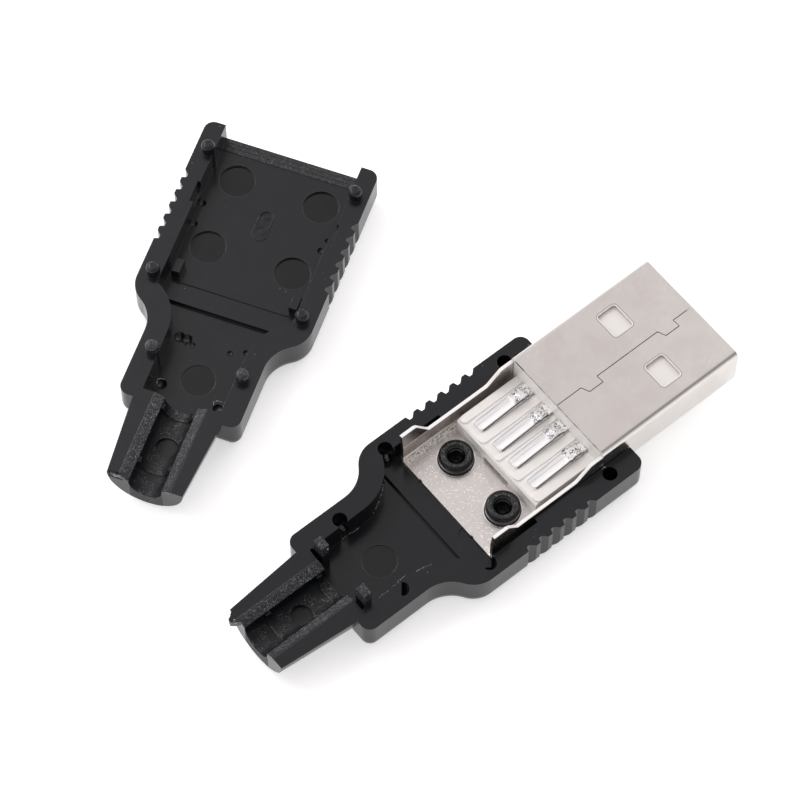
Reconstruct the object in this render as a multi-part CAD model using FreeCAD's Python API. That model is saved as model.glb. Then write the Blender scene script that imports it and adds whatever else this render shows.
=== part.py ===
import FreeCAD, Part
import math
import os

# A USB-A plug of the kind that is soldered to a cable and snapped together. The base half of the
# case holds the folded metal plug with its insulator and four contacts, and the matching cover
# half lies beside it with its inside up, turned a little, as a kit is laid out.
# Millimetres. X runs from the cable end to the mouth, Y across the plug, Z up from the flat
# underside. The origin is on that underside, in the middle plane of the plug, under the grip.

# Metal plug shell, folded from one sheet
SHEET = 0.3
SHELL_WIDTH = 12.0
SHELL_HEIGHT = 4.5
FOLD_RADIUS = 0.54
PLUG_REACH = 12.05
TUBE_LENGTH = 15.05
TAIL_LENGTH = 12.05
TAIL_WALL_TOP = 2.75
WALL_SHOULDER = 1.3
WALL_RAMP = 1.55
WALL_ROUND = 0.7
WING_LENGTH = 2.8
WING_RAMP = 1.25
WING_ROUND = 0.6
WING_TOP = 4.45
WING_LEAN = 0.2
SEAM_GAP = 0.07
TAB_DEPTH = 0.74
TAB_LENGTH = 1.5
TAB_SLANT = 0.33
TAB_FRONT_SLANT = 0.06
FRONT_TAB_FROM_MOUTH = 2.07
TAB_SPACING = 8.53
WINDOW_FROM_MOUTH = 5.0
WINDOW_LENGTH = 1.98
WINDOW_WIDTH = 2.5
WINDOW_OFFSET = 3.1
WINDOW_CORNER = 0.28
NICK_OFFSET = 3.4
NICK_WIDTH = 0.3
NICK_DEPTH = 0.08

# Case halves
HALF_HEIGHT = 4.0
CASE_WIDTH = 16.2
CASE_FRONT = 8.95
GRIP_LENGTH = 16.82
SHOULDER_LENGTH = 4.76
SHOULDER_RADIUS = 2.45
NECK_WIDTH = 10.96
NECK_LENGTH = 6.32
RELIEF_LENGTH = 7.45
RELIEF_ROOT_RADIUS = 4.05
RELIEF_END_RADIUS = 3.42
EDGE_ROUND = 1.5
PLAN_CORNER = 0.9
NOTCH_COUNT = 6
NOTCH_PITCH = 1.314
NOTCH_DEPTH = 0.42
NOTCH_FRONT_RAMP = 0.45
NOTCH_FLOOR = 0.29
NOTCH_REAR_RAMP = 0.16
NOTCH_FROM_FRONT = 5.42

# Hollow inside each half
SEAT_CLEARANCE = 0.05
WING_CLEARANCE = 0.3
WING_ROOM_LENGTH = 4.5
COVER_SEAT_CLEARANCE = 0.38
COVER_REAR_CLEARANCE = 0.2
COVER_SEAT_LENGTH = 6.5
SEAT_RELIEF_LENGTH = 2.1
SEAT_RELIEF_CLEARANCE = 0.6
SEAT_RELIEF_DEPTH = 1.0
SEAT_RELIEF_AHEAD = 0.3
CURVE_RADIUS = 4.7
CHAMBER_FRONT_WIDTH = 7.2
CHAMBER_REAR_WIDTH = 7.0
REAR_WALL = 1.0
NECK_DEEPER = 0.4
FLOOR_STEP_BACK = 0.15
CHAMBER_LENGTH = 5.85

# Cable trough through the strain relief
TROUGH_RADIUS = 1.5
TROUGH_FLOOR = 1.8
TROUGH_LIP = 3.6
TROUGH_END_BEVEL = 4.1
TROUGH_NECK_BEVEL = 4.76
RIB_HEIGHT = 0.2
RIB_THICKNESS = 0.5
RIB_SPACING = 5.35
RIB_FROM_END = 2.4
PIP_RADIUS = 0.92
PIP_DEPTH = 0.12
PIP_FROM_END = 4.8

# What is left of the moulding gate at the cable end: a stub on the base, a scar on the cover
GATE_NEAR = 2.0
GATE_FAR = 3.25
GATE_STUB_REACH = 0.72
GATE_STUB_DROP = 0.75
GATE_SCAR_DEPTH = 0.3
GATE_SCAR_DROP = 0.65

# Pins of the cover, and their sockets in the base: distance from the front, half spacing
PIN_RADIUS = 0.62
PIN_CLEARANCE = 0.03
PIN_STAND = 1.1
PIN_DOME = 0.36
FRONT_PIN = (2.95, 6.88)
MIDDLE_PIN = (16.08, 6.86)
NECK_PIN = (23.2, 4.1)

# Pegs of the base, which come up through the floor of the plug's tail
PEG_RADIUS = 1.52
PEG_CLEARANCE = 0.06
PEG_OFFSET = 3.08
PEG_FROM_TAIL_END = 3.61
PEG_STAND = 0.9
PEG_ROUND = 0.3
PEG_BORE_RADIUS = 0.55
PEG_BORE_DEPTH = 1.4
PEG_COUNTERSINK = 0.4

# Posts, blocks and moulding marks
POST_LENGTH = 0.8
POST_WIDTH = 1.1
POST_OFFSET = 2.78
POST_FROM_REAR_WALL = 0.3
POST_STAND = 1.6
EJECTOR_RADIUS = 1.5
EJECTOR_DEPTH = 0.08
TAIL_EJECTOR_OFFSET = 3.6
TAIL_EJECTOR_UNDER = 0.2
BASE_NECK_EJECTOR_BACK = 5.3
COVER_NECK_EJECTOR_BACK = 6.4
SEAT_EJECTOR_OFFSET = 3.95
SEAT_EJECTOR_RADIUS = 1.6
SEAT_EJECTOR_DEPTH = 0.2
SEAT_EJECTOR_FROM_FRONT = 3.8
REAR_EJECTOR_FROM_FRONT = 10.92
SILL_LENGTH = 1.27
SILL_HEIGHT = 0.08
SILL_LINES = 2
SILL_LINE_WIDTH = 0.08
SILL_LINE_DEPTH = 0.03
BLOCK_LENGTH = 1.35
BLOCK_WIDTH = 0.75
BLOCK_OUTER = 5.82
BLOCK_TOP = 2.8
BLOCK_FROM_FRONT = 13.4
LINE_FROM_FRONT = 15.12
LINE_WIDTH = 0.12
LINE_HEIGHT = 0.1
MARK_LENGTH = 3.2
MARK_WIDTH = 1.4
MARK_FROM_FRONT = 7.3
MARK_OFFSET = 0.15
MARK_RELIEF = 0.05
MARK_RING = 0.12

# Pits left by trapped gas in the cover's floor: place from the origin, radius at the surface
NECK_PITS = ((-11.0, 3.05, 0.5), (-10.95, 2.35, 0.45), (-11.45, 2.44, 0.22), (-11.33, 1.73, 0.27),
             (-11.01, -1.65, 0.28), (-10.5, -2.95, 0.3), (-15.81, 2.85, 0.48), (-16.4, -2.6, 0.45))
SEAT_PITS = ((2.0, 6.0, 0.32), (-0.2, 5.9, 0.28), (2.15, -5.7, 0.24), (1.0, -5.5, 0.32))
PIT_DEPTH_SHARE = 0.6

# Insulator
INSULATOR_CLEARANCE = 0.03
TONGUE_THICKNESS = 1.84
TONGUE_SIDE_GAP = 0.15
TONGUE_SETBACK = 0.4
TONGUE_LENGTH = 8.8
BLOCK_REAR_LENGTH = 6.65
BLOCK_REAR_SIDE_GAP = 0.52
BLOCK_REAR_HEIGHT = 1.84
RIDGE_HEIGHT = 0.16
RIDGE_SIDE_CLEARANCE = 0.14
RIDGE_EDGE_SETBACK = 0.2
LIP_LENGTH = 0.17
CHAMFER = 0.18
UNDERCUT_WIDTH = 3.2
UNDERCUT_HEIGHT = 0.55
UNDERCUT_LENGTH = 0.5

# Contacts: how far the outer pair lies inside the tongue's sides, half spacing of the inner pair
OUTER_CONTACT_INSET = 2.05
INNER_CONTACT = 1.03
CONTACT_THICKNESS = 0.3
BLADE_WIDTH = 1.0
BLADE_PROUD = 0.06
OUTER_BLADE_SETBACK = 1.3
INNER_BLADE_SETBACK = 2.3
SOLDER_TAIL_WIDTH = 1.16
SOLDER_TAIL_FROM_REAR = 0.85
SOLDER_TAIL_RISE = 0.42
SOLDER_TAIL_LENGTH = 5.35
BEND_LENGTH = 0.75

# Where the cover lies beside the base
COVER_TURN = 30.86
COVER_PLACE = (-2.218, 30.563)

# Places that follow from the sizes
CASE_HALF = CASE_WIDTH / 2
NECK_HALF = NECK_WIDTH / 2
SHOULDER_X = CASE_FRONT - GRIP_LENGTH
NECK_X = SHOULDER_X - SHOULDER_LENGTH
NECK_REAR = NECK_X - NECK_LENGTH
CABLE_END = NECK_REAR - RELIEF_LENGTH
CHAMBER_REAR = NECK_REAR + REAR_WALL
MOUTH = CASE_FRONT + PLUG_REACH
TUBE_REAR = MOUTH - TUBE_LENGTH
TAIL_REAR = TUBE_REAR - TAIL_LENGTH
SHELL_BOTTOM = HALF_HEIGHT - SHELL_HEIGHT / 2
SHELL_TOP = SHELL_BOTTOM + SHELL_HEIGHT
SHELL_HALF = SHELL_WIDTH / 2
SHELL_FLOOR = SHELL_BOTTOM + SHEET
FLOOR = SHELL_BOTTOM
NECK_FLOOR = FLOOR - NECK_DEEPER
SEAT_HALF = SHELL_HALF + SEAT_CLEARANCE
WING_ROOM_HALF = SHELL_HALF + WING_LEAN + WING_CLEARANCE
PEG_X = TAIL_REAR + PEG_FROM_TAIL_END
PEG_TOP = SHELL_FLOOR + PEG_STAND
INSULATOR_REAR = TUBE_REAR - BLOCK_REAR_LENGTH
TONGUE_HALF = SHELL_HALF - SHEET - TONGUE_SIDE_GAP
BLOCK_REAR_HALF = SHELL_HALF - SHEET - BLOCK_REAR_SIDE_GAP
OUTER_CONTACT = TONGUE_HALF - OUTER_CONTACT_INSET
SOLDER_TAIL_SEAT = SHELL_FLOOR + BLOCK_REAR_HEIGHT
SLACK = 1.0


def point(x, y, z=0.0):
    return FreeCAD.Vector(x, y, z)


def box(x_range, y_range, z_range):
    """A box between the two ends given for each axis."""
    size = [span[1] - span[0] for span in (x_range, y_range, z_range)]
    return Part.makeBox(*size, point(x_range[0], y_range[0], z_range[0]))


def cylinder(x, y, radius, z_range):
    """An upright cylinder."""
    return Part.makeCylinder(radius, z_range[1] - z_range[0], point(x, y, z_range[0]))


def polygon(points):
    """A flat face with straight sides."""
    return Part.Face(Part.makePolygon(points + points[:1]))


def side_prism(profile, half_width):
    """A side view, given as (x, z) points, run across the part."""
    face = polygon([point(x, -half_width, z) for x, z in profile])
    return face.extrude(point(0, 2 * half_width, 0))


def mirrored(shape):
    """The same shape on the other side of the middle plane."""
    return shape.mirror(point(0, 0, 0), point(0, 1, 0))


def both_sides(shape):
    return [shape, mirrored(shape)]


def shoulder_arcs():
    """The S-curve from the grip down to the neck: two arcs that meet in a common tangent."""
    drop = CASE_HALF - NECK_HALF
    reach = (SHOULDER_LENGTH ** 2 + drop ** 2) / (2 * drop)
    neck_radius = reach - SHOULDER_RADIUS
    outer = point(SHOULDER_X, CASE_HALF - SHOULDER_RADIUS)
    inner = point(NECK_X, NECK_HALF + neck_radius)
    turn = math.atan2(inner.y - outer.y, inner.x - outer.x)

    def on_arc(centre, radius, angle):
        return centre + point(radius * math.cos(angle), radius * math.sin(angle))

    start = math.pi / 2
    meet = on_arc(outer, SHOULDER_RADIUS, turn)
    first = Part.Arc(on_arc(outer, SHOULDER_RADIUS, start),
                     on_arc(outer, SHOULDER_RADIUS, (start + turn) / 2), meet)
    second = Part.Arc(meet, on_arc(inner, neck_radius, (turn + start) / 2 + math.pi),
                      point(NECK_X, NECK_HALF))
    return first.toShape(), second.toShape()


def case_blank():
    """The grip, shoulders and neck as one slab with rounded bottom edges."""
    first, second = shoulder_arcs()
    side = [Part.LineSegment(point(CASE_FRONT, CASE_HALF), point(SHOULDER_X, CASE_HALF)).toShape(),
            first, second,
            Part.LineSegment(point(NECK_X, NECK_HALF), point(NECK_REAR, NECK_HALF)).toShape()]
    rear = Part.LineSegment(point(NECK_REAR, NECK_HALF), point(NECK_REAR, -NECK_HALF)).toShape()
    front = Part.LineSegment(point(CASE_FRONT, -CASE_HALF), point(CASE_FRONT, CASE_HALF)).toShape()
    loop = Part.__sortEdges__(side + [rear] + [mirrored(edge) for edge in side] + [front])
    slab = Part.Face(Part.Wire(loop)).extrude(point(0, 0, HALF_HEIGHT))
    bottom = [edge for edge in slab.Edges if edge.BoundBox.ZMax < HALF_HEIGHT / 2]
    return slab.makeFillet(EDGE_ROUND, bottom)


def rounded_corner(x, y):
    """An upright corner's own shape about its axis: round in plan, and round at the bottom."""
    axis = EDGE_ROUND - PLAN_CORNER
    low = EDGE_ROUND - math.sqrt(EDGE_ROUND ** 2 - axis ** 2)
    lean = math.asin(axis / EDGE_ROUND)
    middle = (lean + math.pi / 2) / 2
    on_arc = point(x - axis + EDGE_ROUND * math.sin(middle), y, EDGE_ROUND * (1 - math.cos(middle)))
    outline = [point(x + PLAN_CORNER, y, EDGE_ROUND), point(x + PLAN_CORNER, y, HALF_HEIGHT + SLACK),
               point(x, y, HALF_HEIGHT + SLACK), point(x, y, low)]
    edges = [Part.LineSegment(a, b).toShape() for a, b in zip(outline, outline[1:])]
    edges.append(Part.Arc(outline[-1], on_arc, outline[0]).toShape())
    return Part.Face(Part.Wire(edges)).revolve(point(x, y, 0), point(0, 0, 1), 360)


def corner_cutter(x, y, x_way, y_way):
    """What rounding an upright corner takes away; the ways point out of the corner."""
    centre = point(x - x_way * PLAN_CORNER, y - y_way * PLAN_CORNER)
    reach = sorted((centre.x, x + x_way * SLACK))
    across = sorted((centre.y, y + y_way * SLACK))
    return box(reach, across, (-SLACK, HALF_HEIGHT + SLACK)).cut(rounded_corner(centre.x, centre.y))


def grip_notches():
    """The row of finger notches along one side, each with a long front ramp."""
    notches = []
    for number in range(NOTCH_COUNT):
        front = CASE_FRONT - NOTCH_FROM_FRONT - number * NOTCH_PITCH
        floor_front = front - NOTCH_FRONT_RAMP
        floor_rear = floor_front - NOTCH_FLOOR
        rear = floor_rear - NOTCH_REAR_RAMP
        floor_y = CASE_HALF - NOTCH_DEPTH
        outline = [(front, CASE_HALF), (floor_front, floor_y), (floor_rear, floor_y), (rear, CASE_HALF),
                   (rear, CASE_HALF + SLACK), (front, CASE_HALF + SLACK)]
        face = polygon([point(x, y, -SLACK) for x, y in outline])
        notches.append(face.extrude(point(0, 0, HALF_HEIGHT + 2 * SLACK)))
    return notches


def strain_relief():
    """The lower half of a slim cone about the parting plane, flat where it meets the table."""
    cone = Part.makeCone(RELIEF_END_RADIUS, RELIEF_ROOT_RADIUS, RELIEF_LENGTH,
                         point(CABLE_END, 0, HALF_HEIGHT), point(1, 0, 0))
    root = Part.makeCylinder(RELIEF_ROOT_RADIUS, REAR_WALL / 2,
                             point(NECK_REAR, 0, HALF_HEIGHT), point(1, 0, 0))
    lower = box((CABLE_END - SLACK, NECK_REAR + REAR_WALL), (-CASE_HALF, CASE_HALF), (0, HALF_HEIGHT))
    return cone.fuse(root).common(lower)


def cavity_outline(seat_half, rear_half, seat_end, height):
    """The plan of the hollow: plug seat, its wider or narrower rear, a curve and the neck chamber."""
    front_half = CHAMBER_FRONT_WIDTH / 2
    curve_x = CHAMBER_REAR + CHAMBER_LENGTH
    rise = rear_half - front_half
    corner_x = curve_x + math.sqrt(CURVE_RADIUS ** 2 - (CURVE_RADIUS - rise) ** 2)
    centre = point(curve_x, front_half + CURVE_RADIUS, height)
    sweep = math.acos((CURVE_RADIUS - rise) / CURVE_RADIUS)
    middle = centre + point(CURVE_RADIUS * math.sin(sweep / 2), -CURVE_RADIUS * math.cos(sweep / 2))
    corner = point(corner_x, rear_half, height)
    curve_end = point(curve_x, front_half, height)
    rear_corner = point(CHAMBER_REAR, CHAMBER_REAR_WIDTH / 2, height)
    mouth = CASE_FRONT + SLACK
    path = [point(mouth, seat_half, height), point(seat_end, seat_half, height),
            point(seat_end, rear_half, height), corner]
    side = [Part.LineSegment(a, b).toShape() for a, b in zip(path, path[1:])]
    side.append(Part.Arc(corner, middle, curve_end).toShape())
    side.append(Part.LineSegment(curve_end, rear_corner).toShape())
    rear = Part.LineSegment(rear_corner, point(CHAMBER_REAR, -rear_corner.y, height)).toShape()
    front = Part.LineSegment(point(mouth, -seat_half, height), path[0]).toShape()
    loop = Part.__sortEdges__(side + [rear] + [mirrored(edge) for edge in side] + [front])
    return Part.Face(Part.Wire(loop))


def cavity(seat_half, rear_half, seat_end):
    """The hollow of a half, a little deeper behind the plug."""
    hollow = cavity_outline(seat_half, rear_half, seat_end, FLOOR)
    hollow = hollow.extrude(point(0, 0, HALF_HEIGHT - FLOOR + SLACK))
    deep = cavity_outline(seat_half, rear_half, seat_end, NECK_FLOOR).extrude(point(0, 0, NECK_DEEPER))
    behind = box((CABLE_END, SHOULDER_X - FLOOR_STEP_BACK), (-CASE_HALF, CASE_HALF), (0, HALF_HEIGHT))
    return hollow.fuse(deep.common(behind))


def trough_section(x, bevel_width):
    """The cable trough across the strain relief: a round bottom, short sides and a wide bevel."""
    centre_z = TROUGH_FLOOR + TROUGH_RADIUS
    over = HALF_HEIGHT + SLACK
    slope = (bevel_width / 2 - TROUGH_RADIUS) / (HALF_HEIGHT - TROUGH_LIP)
    wide = bevel_width / 2 + slope * SLACK
    left = [point(x, wide, over), point(x, TROUGH_RADIUS, TROUGH_LIP), point(x, TROUGH_RADIUS, centre_z)]
    right = [point(x, -p.y, p.z) for p in reversed(left)]
    edges = [Part.LineSegment(a, b).toShape() for a, b in zip(left, left[1:])]
    edges.append(Part.Arc(left[-1], point(x, 0, TROUGH_FLOOR), right[0]).toShape())
    edges += [Part.LineSegment(a, b).toShape() for a, b in zip(right, right[1:])]
    edges.append(Part.LineSegment(right[-1], left[0]).toShape())
    return Part.Wire(edges)


def trough():
    """The channel that the cable leaves by, less the ribs that bite into its jacket."""
    front = CHAMBER_REAR + SLACK / 2
    centre_z = TROUGH_FLOOR + TROUGH_RADIUS
    channel = Part.makeLoft([trough_section(CABLE_END - SLACK, TROUGH_END_BEVEL),
                             trough_section(front, TROUGH_NECK_BEVEL)], True, True)
    for number in range(2):
        middle = CABLE_END + RIB_FROM_END + number * RIB_SPACING
        rear = middle - RIB_THICKNESS / 2
        rib = box((rear, rear + RIB_THICKNESS), (-TROUGH_RADIUS, TROUGH_RADIUS), (0, centre_z))
        inside = Part.makeCylinder(TROUGH_RADIUS - RIB_HEIGHT, RIB_THICKNESS,
                                   point(rear, 0, centre_z), point(1, 0, 0))
        channel = channel.cut(rib.cut(inside))
    return channel


def trough_pip():
    """The small ejector mark on the bottom of the trough."""
    return cylinder(CABLE_END + PIP_FROM_END, 0, PIP_RADIUS,
                    (TROUGH_FLOOR - PIP_DEPTH, TROUGH_FLOOR + TROUGH_RADIUS))


def case_half(hollow):
    """What the base and the cover have in common, around their own hollow."""
    half = case_blank()
    cutters = []
    for side in (1, -1):
        cutters.append(corner_cutter(CASE_FRONT, side * CASE_HALF, 1, side))
        cutters.append(corner_cutter(NECK_REAR, side * NECK_HALF, -1, side))
    for notch in grip_notches():
        cutters += both_sides(notch)
    half = half.cut(cutters).fuse(strain_relief())
    return half.cut([hollow, trough(), trough_pip()])


def pin_places():
    """The six places where a pin of the cover enters a socket of the base."""
    return [(CASE_FRONT - back, side * offset)
            for back, offset in (FRONT_PIN, MIDDLE_PIN, NECK_PIN) for side in (1, -1)]


def sockets():
    """Blind holes for the pins, as deep as the neck; those beside it break out into it."""
    radius = PIN_RADIUS + PIN_CLEARANCE
    return [cylinder(x, y, radius, (NECK_FLOOR, HALF_HEIGHT + SLACK))
            for x, y in pin_places()]


def pins():
    """Domed pins that stand on the cover's rim."""
    made = []
    for x, y in pin_places():
        pin = cylinder(x, y, PIN_RADIUS, (FLOOR, HALF_HEIGHT + PIN_STAND))
        top = [edge for edge in pin.Edges if edge.BoundBox.ZMin > HALF_HEIGHT]
        made.append(pin.makeFillet(PIN_DOME, top))
    return made


def pegs():
    """Pegs with rounded tops, which hold the plug by its tail."""
    made = []
    for side in (1, -1):
        peg = cylinder(PEG_X, side * PEG_OFFSET, PEG_RADIUS, (FLOOR / 2, PEG_TOP))
        top = [edge for edge in peg.Edges if edge.BoundBox.ZMin > FLOOR]
        made.append(peg.makeFillet(PEG_ROUND, top))
    return made


def peg_bores():
    """A blind bore down the middle of each peg, with a countersunk mouth."""
    made = []
    for side in (1, -1):
        bore = cylinder(PEG_X, side * PEG_OFFSET, PEG_BORE_RADIUS,
                        (PEG_TOP - PEG_BORE_DEPTH, PEG_TOP + SLACK))
        sink = Part.makeCone(PEG_BORE_RADIUS, PEG_BORE_RADIUS + PEG_COUNTERSINK, PEG_COUNTERSINK,
                             point(PEG_X, side * PEG_OFFSET, PEG_TOP - PEG_COUNTERSINK))
        made.append(bore.fuse(sink))
    return made


def posts():
    """Posts beside the cable, joined to the chamber's wall as far as the rim."""
    half = POST_WIDTH / 2
    rear = CHAMBER_REAR + POST_FROM_REAR_WALL
    span = (rear, rear + POST_LENGTH)
    made = []
    for side in (1, -1):
        inner = side * (POST_OFFSET - half)
        outer = side * (POST_OFFSET + half)
        rooted = side * (CHAMBER_FRONT_WIDTH / 2 + REAR_WALL / 2)
        foot = NECK_FLOOR / 2
        made.append(box(span, sorted((inner, outer)), (foot, HALF_HEIGHT + POST_STAND)))
        made.append(box(span, sorted((inner, rooted)), (foot, HALF_HEIGHT)))
    return made


def ejector_marks(places, floor, radius=EJECTOR_RADIUS, depth=EJECTOR_DEPTH):
    """Shallow round marks that the ejector pins leave in a floor."""
    return [cylinder(x, y, radius, (floor - depth, floor + depth)) for x, y in places]


def neck_mark(back):
    """The ejector mark in the neck's deeper floor, at a distance behind the step."""
    return ejector_marks([(SHOULDER_X - FLOOR_STEP_BACK - back, 0)], NECK_FLOOR)


def gate_stub():
    """The ragged stub where the base was torn off its runner."""
    width = GATE_FAR - GATE_NEAR
    outline = [(0, 0), (0.6, 0.2), (1, 0.4), (0.9, 0.65), (0.5, 0.75), (0.15, 0.9), (0, 1)]
    face = polygon([point(CABLE_END - GATE_STUB_REACH * out, GATE_NEAR + width * across,
                          HALF_HEIGHT - GATE_STUB_DROP) for out, across in outline])
    return face.extrude(point(0, 0, GATE_STUB_DROP))


def gate_scar():
    """The torn edge where the cover was broken off its runner."""
    low = HALF_HEIGHT - GATE_SCAR_DROP
    deep = CABLE_END + GATE_SCAR_DEPTH
    out = CABLE_END - SLACK
    side = [(out, low), (CABLE_END, low), (deep, HALF_HEIGHT - GATE_SCAR_DROP / 3),
            (deep, HALF_HEIGHT + SLACK), (out, HALF_HEIGHT + SLACK)]
    face = polygon([point(x, GATE_NEAR, z) for x, z in side])
    return face.extrude(point(0, GATE_FAR - GATE_NEAR, 0))


def base_case():
    """The half that holds the plug."""
    base = case_half(cavity(SEAT_HALF, WING_ROOM_HALF, TAIL_REAR + WING_ROOM_LENGTH))
    base = base.fuse(pegs() + posts() + [gate_stub()])
    marks = neck_mark(BASE_NECK_EJECTOR_BACK)
    marks += ejector_marks([(TAIL_REAR + TAIL_EJECTOR_UNDER, side * TAIL_EJECTOR_OFFSET)
                            for side in (1, -1)], FLOOR)
    return base.cut(sockets() + marks + peg_bores())


def cover_blocks():
    """Low blocks behind the plug's wings, with a slot for the wing on the outer side."""
    front = CASE_FRONT - BLOCK_FROM_FRONT
    block = box((front - BLOCK_LENGTH, front), (BLOCK_OUTER - BLOCK_WIDTH, BLOCK_OUTER),
                (FLOOR / 2, BLOCK_TOP))
    line_x = CASE_FRONT - LINE_FROM_FRONT
    line = box((line_x, line_x + LINE_WIDTH), (-BLOCK_OUTER + BLOCK_WIDTH, BLOCK_OUTER - BLOCK_WIDTH),
               (FLOOR / 2, FLOOR + LINE_HEIGHT))
    return both_sides(block) + [line]


def pits(places, floor):
    """Round-bottomed pits in a floor."""
    made = []
    for x, y, radius in places:
        depth = radius * PIT_DEPTH_SHARE
        ball = (radius ** 2 + depth ** 2) / (2 * depth)
        made.append(Part.makeSphere(ball, point(x, y, floor - depth + ball)))
    return made


def seat_reliefs():
    """The small pockets in the cover's walls at the rear end of the plug's seat."""
    front = CASE_FRONT - COVER_SEAT_LENGTH + SEAT_RELIEF_AHEAD
    return both_sides(box((front - SEAT_RELIEF_LENGTH, front),
                          (SHELL_HALF, SHELL_HALF + SEAT_RELIEF_CLEARANCE),
                          (HALF_HEIGHT - SEAT_RELIEF_DEPTH, HALF_HEIGHT + SLACK)))


def cover_sill():
    """The strip at the mouth of the cover that presses on the plug, with its fine lines."""
    rear = CASE_FRONT - SILL_LENGTH
    sill = box((rear, CASE_FRONT), (-SEAT_HALF - SLACK / 2, SEAT_HALF + SLACK / 2),
               (FLOOR / 2, FLOOR + SILL_HEIGHT))
    pitch = SILL_LENGTH / (SILL_LINES + 1)
    for number in range(SILL_LINES):
        x = rear + (number + 1) * pitch
        sill = sill.cut(box((x - SILL_LINE_WIDTH / 2, x + SILL_LINE_WIDTH / 2),
                            (-SEAT_HALF, SEAT_HALF),
                            (FLOOR + SILL_HEIGHT - SILL_LINE_DEPTH, FLOOR + SLACK)))
    return sill


def slot_disc(length, width, x, y, z_range):
    """A flat piece with two straight sides along X and round ends."""
    radius = width / 2
    reach = length / 2 - radius
    middle = box((x - reach, x + reach), (y - radius, y + radius), z_range)
    ends = [cylinder(x + way * reach, y, radius, z_range) for way in (1, -1)]
    return middle.fuse(ends)


def cover_mark():
    """A plain raised oval ring where a maker would put a cavity mark."""
    x = CASE_FRONT - MARK_FROM_FRONT
    z_range = (FLOOR - MARK_RELIEF, FLOOR + MARK_RELIEF)
    outer = slot_disc(MARK_LENGTH, MARK_WIDTH, x, MARK_OFFSET, z_range)
    inner = slot_disc(MARK_LENGTH - 2 * MARK_RING, MARK_WIDTH - 2 * MARK_RING, x, MARK_OFFSET,
                      (z_range[0] - SLACK, z_range[1] + SLACK))
    return outer.cut(inner)


def cover_case():
    """The half that closes the plug, turned and moved to where it lies."""
    hollow = cavity(SHELL_HALF + COVER_SEAT_CLEARANCE, SHELL_HALF + COVER_REAR_CLEARANCE,
                    CASE_FRONT - COVER_SEAT_LENGTH)
    cover = case_half(hollow).fuse(pins() + cover_blocks() + [cover_sill(), cover_mark()])
    seats = [(CASE_FRONT - back, side * SEAT_EJECTOR_OFFSET)
             for back in (SEAT_EJECTOR_FROM_FRONT, REAR_EJECTOR_FROM_FRONT) for side in (1, -1)]
    marks = ejector_marks(seats, FLOOR, SEAT_EJECTOR_RADIUS, SEAT_EJECTOR_DEPTH)
    marks += neck_mark(COVER_NECK_EJECTOR_BACK)
    cover = cover.cut(marks + pits(NECK_PITS, NECK_FLOOR) + pits(SEAT_PITS, FLOOR))
    cover = cover.cut(seat_reliefs() + [gate_scar()])
    cover.rotate(point(0, 0, 0), point(0, 0, 1), COVER_TURN)
    cover.translate(point(*COVER_PLACE))
    return cover


def tube(length, half_width, z_range, radius, x):
    """A bar along X with a rounded section."""
    bar = box((x, x + length), (-half_width, half_width), z_range)
    along = [edge for edge in bar.Edges if abs(edge.Vertexes[0].X - edge.Vertexes[1].X) > SLACK / 2]
    return bar.makeFillet(radius, along)


def edges_across(shape, places):
    """The edges that run across the part through the given (x, z) places."""
    return [edge for edge in shape.Edges for x, z in places
            if edge.BoundBox.XLength + edge.BoundBox.ZLength < SEAM_GAP
            and math.hypot(edge.BoundBox.XMin - x, edge.BoundBox.ZMin - z) < SEAM_GAP]


def tail_opening():
    """What is taken off above the open tail, down to the top of its side walls."""
    low = SHELL_BOTTOM + TAIL_WALL_TOP
    high = SHELL_TOP - FOLD_RADIUS
    shoulder = TUBE_REAR - WALL_SHOULDER
    ramp_end = shoulder - WALL_RAMP
    over = SHELL_TOP + SLACK
    behind = TAIL_REAR - SLACK
    opening = side_prism([(TUBE_REAR, over), (TUBE_REAR, high), (shoulder, high), (ramp_end, low),
                          (behind, low), (behind, over)], SHELL_WIDTH)
    return opening.makeFillet(WALL_ROUND, edges_across(opening, [(shoulder, high), (ramp_end, low)]))


def wings():
    """The raised rear ends of the tail's side walls, which lean out a little."""
    low = SHELL_BOTTOM + TAIL_WALL_TOP
    foot = low - SHEET
    top = SHELL_BOTTOM + WING_TOP
    front = TAIL_REAR + WING_LENGTH
    crest = front - WING_RAMP
    section = [(SHELL_HALF - SHEET, foot), (SHELL_HALF, foot), (SHELL_HALF + WING_LEAN, top),
               (SHELL_HALF + WING_LEAN - SHEET, top)]
    wing = polygon([point(TAIL_REAR, y, z) for y, z in section]).extrude(point(WING_LENGTH, 0, 0))
    above = side_prism([(front + SLACK, low), (front, low), (crest, top), (TAIL_REAR - SLACK, top),
                        (TAIL_REAR - SLACK, top + SLACK), (front + SLACK, top + SLACK)], SHELL_WIDTH)
    above = above.makeFillet(WING_ROUND, edges_across(above, [(front, low), (crest, top)]))
    return both_sides(wing.cut(above))


def seam_path():
    """The line of the butt seam on top, with its two interlocking tabs."""
    path = [(MOUTH + SLACK, 0)]
    for number in range(2):
        front = MOUTH - FRONT_TAB_FROM_MOUTH - number * TAB_SPACING
        rear = front - TAB_LENGTH
        path += [(front - TAB_FRONT_SLANT, 0), (front, -TAB_DEPTH), (rear, -TAB_DEPTH), (rear - TAB_SLANT, 0)]
    path.append((TUBE_REAR - SLACK, 0))
    return path


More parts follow.
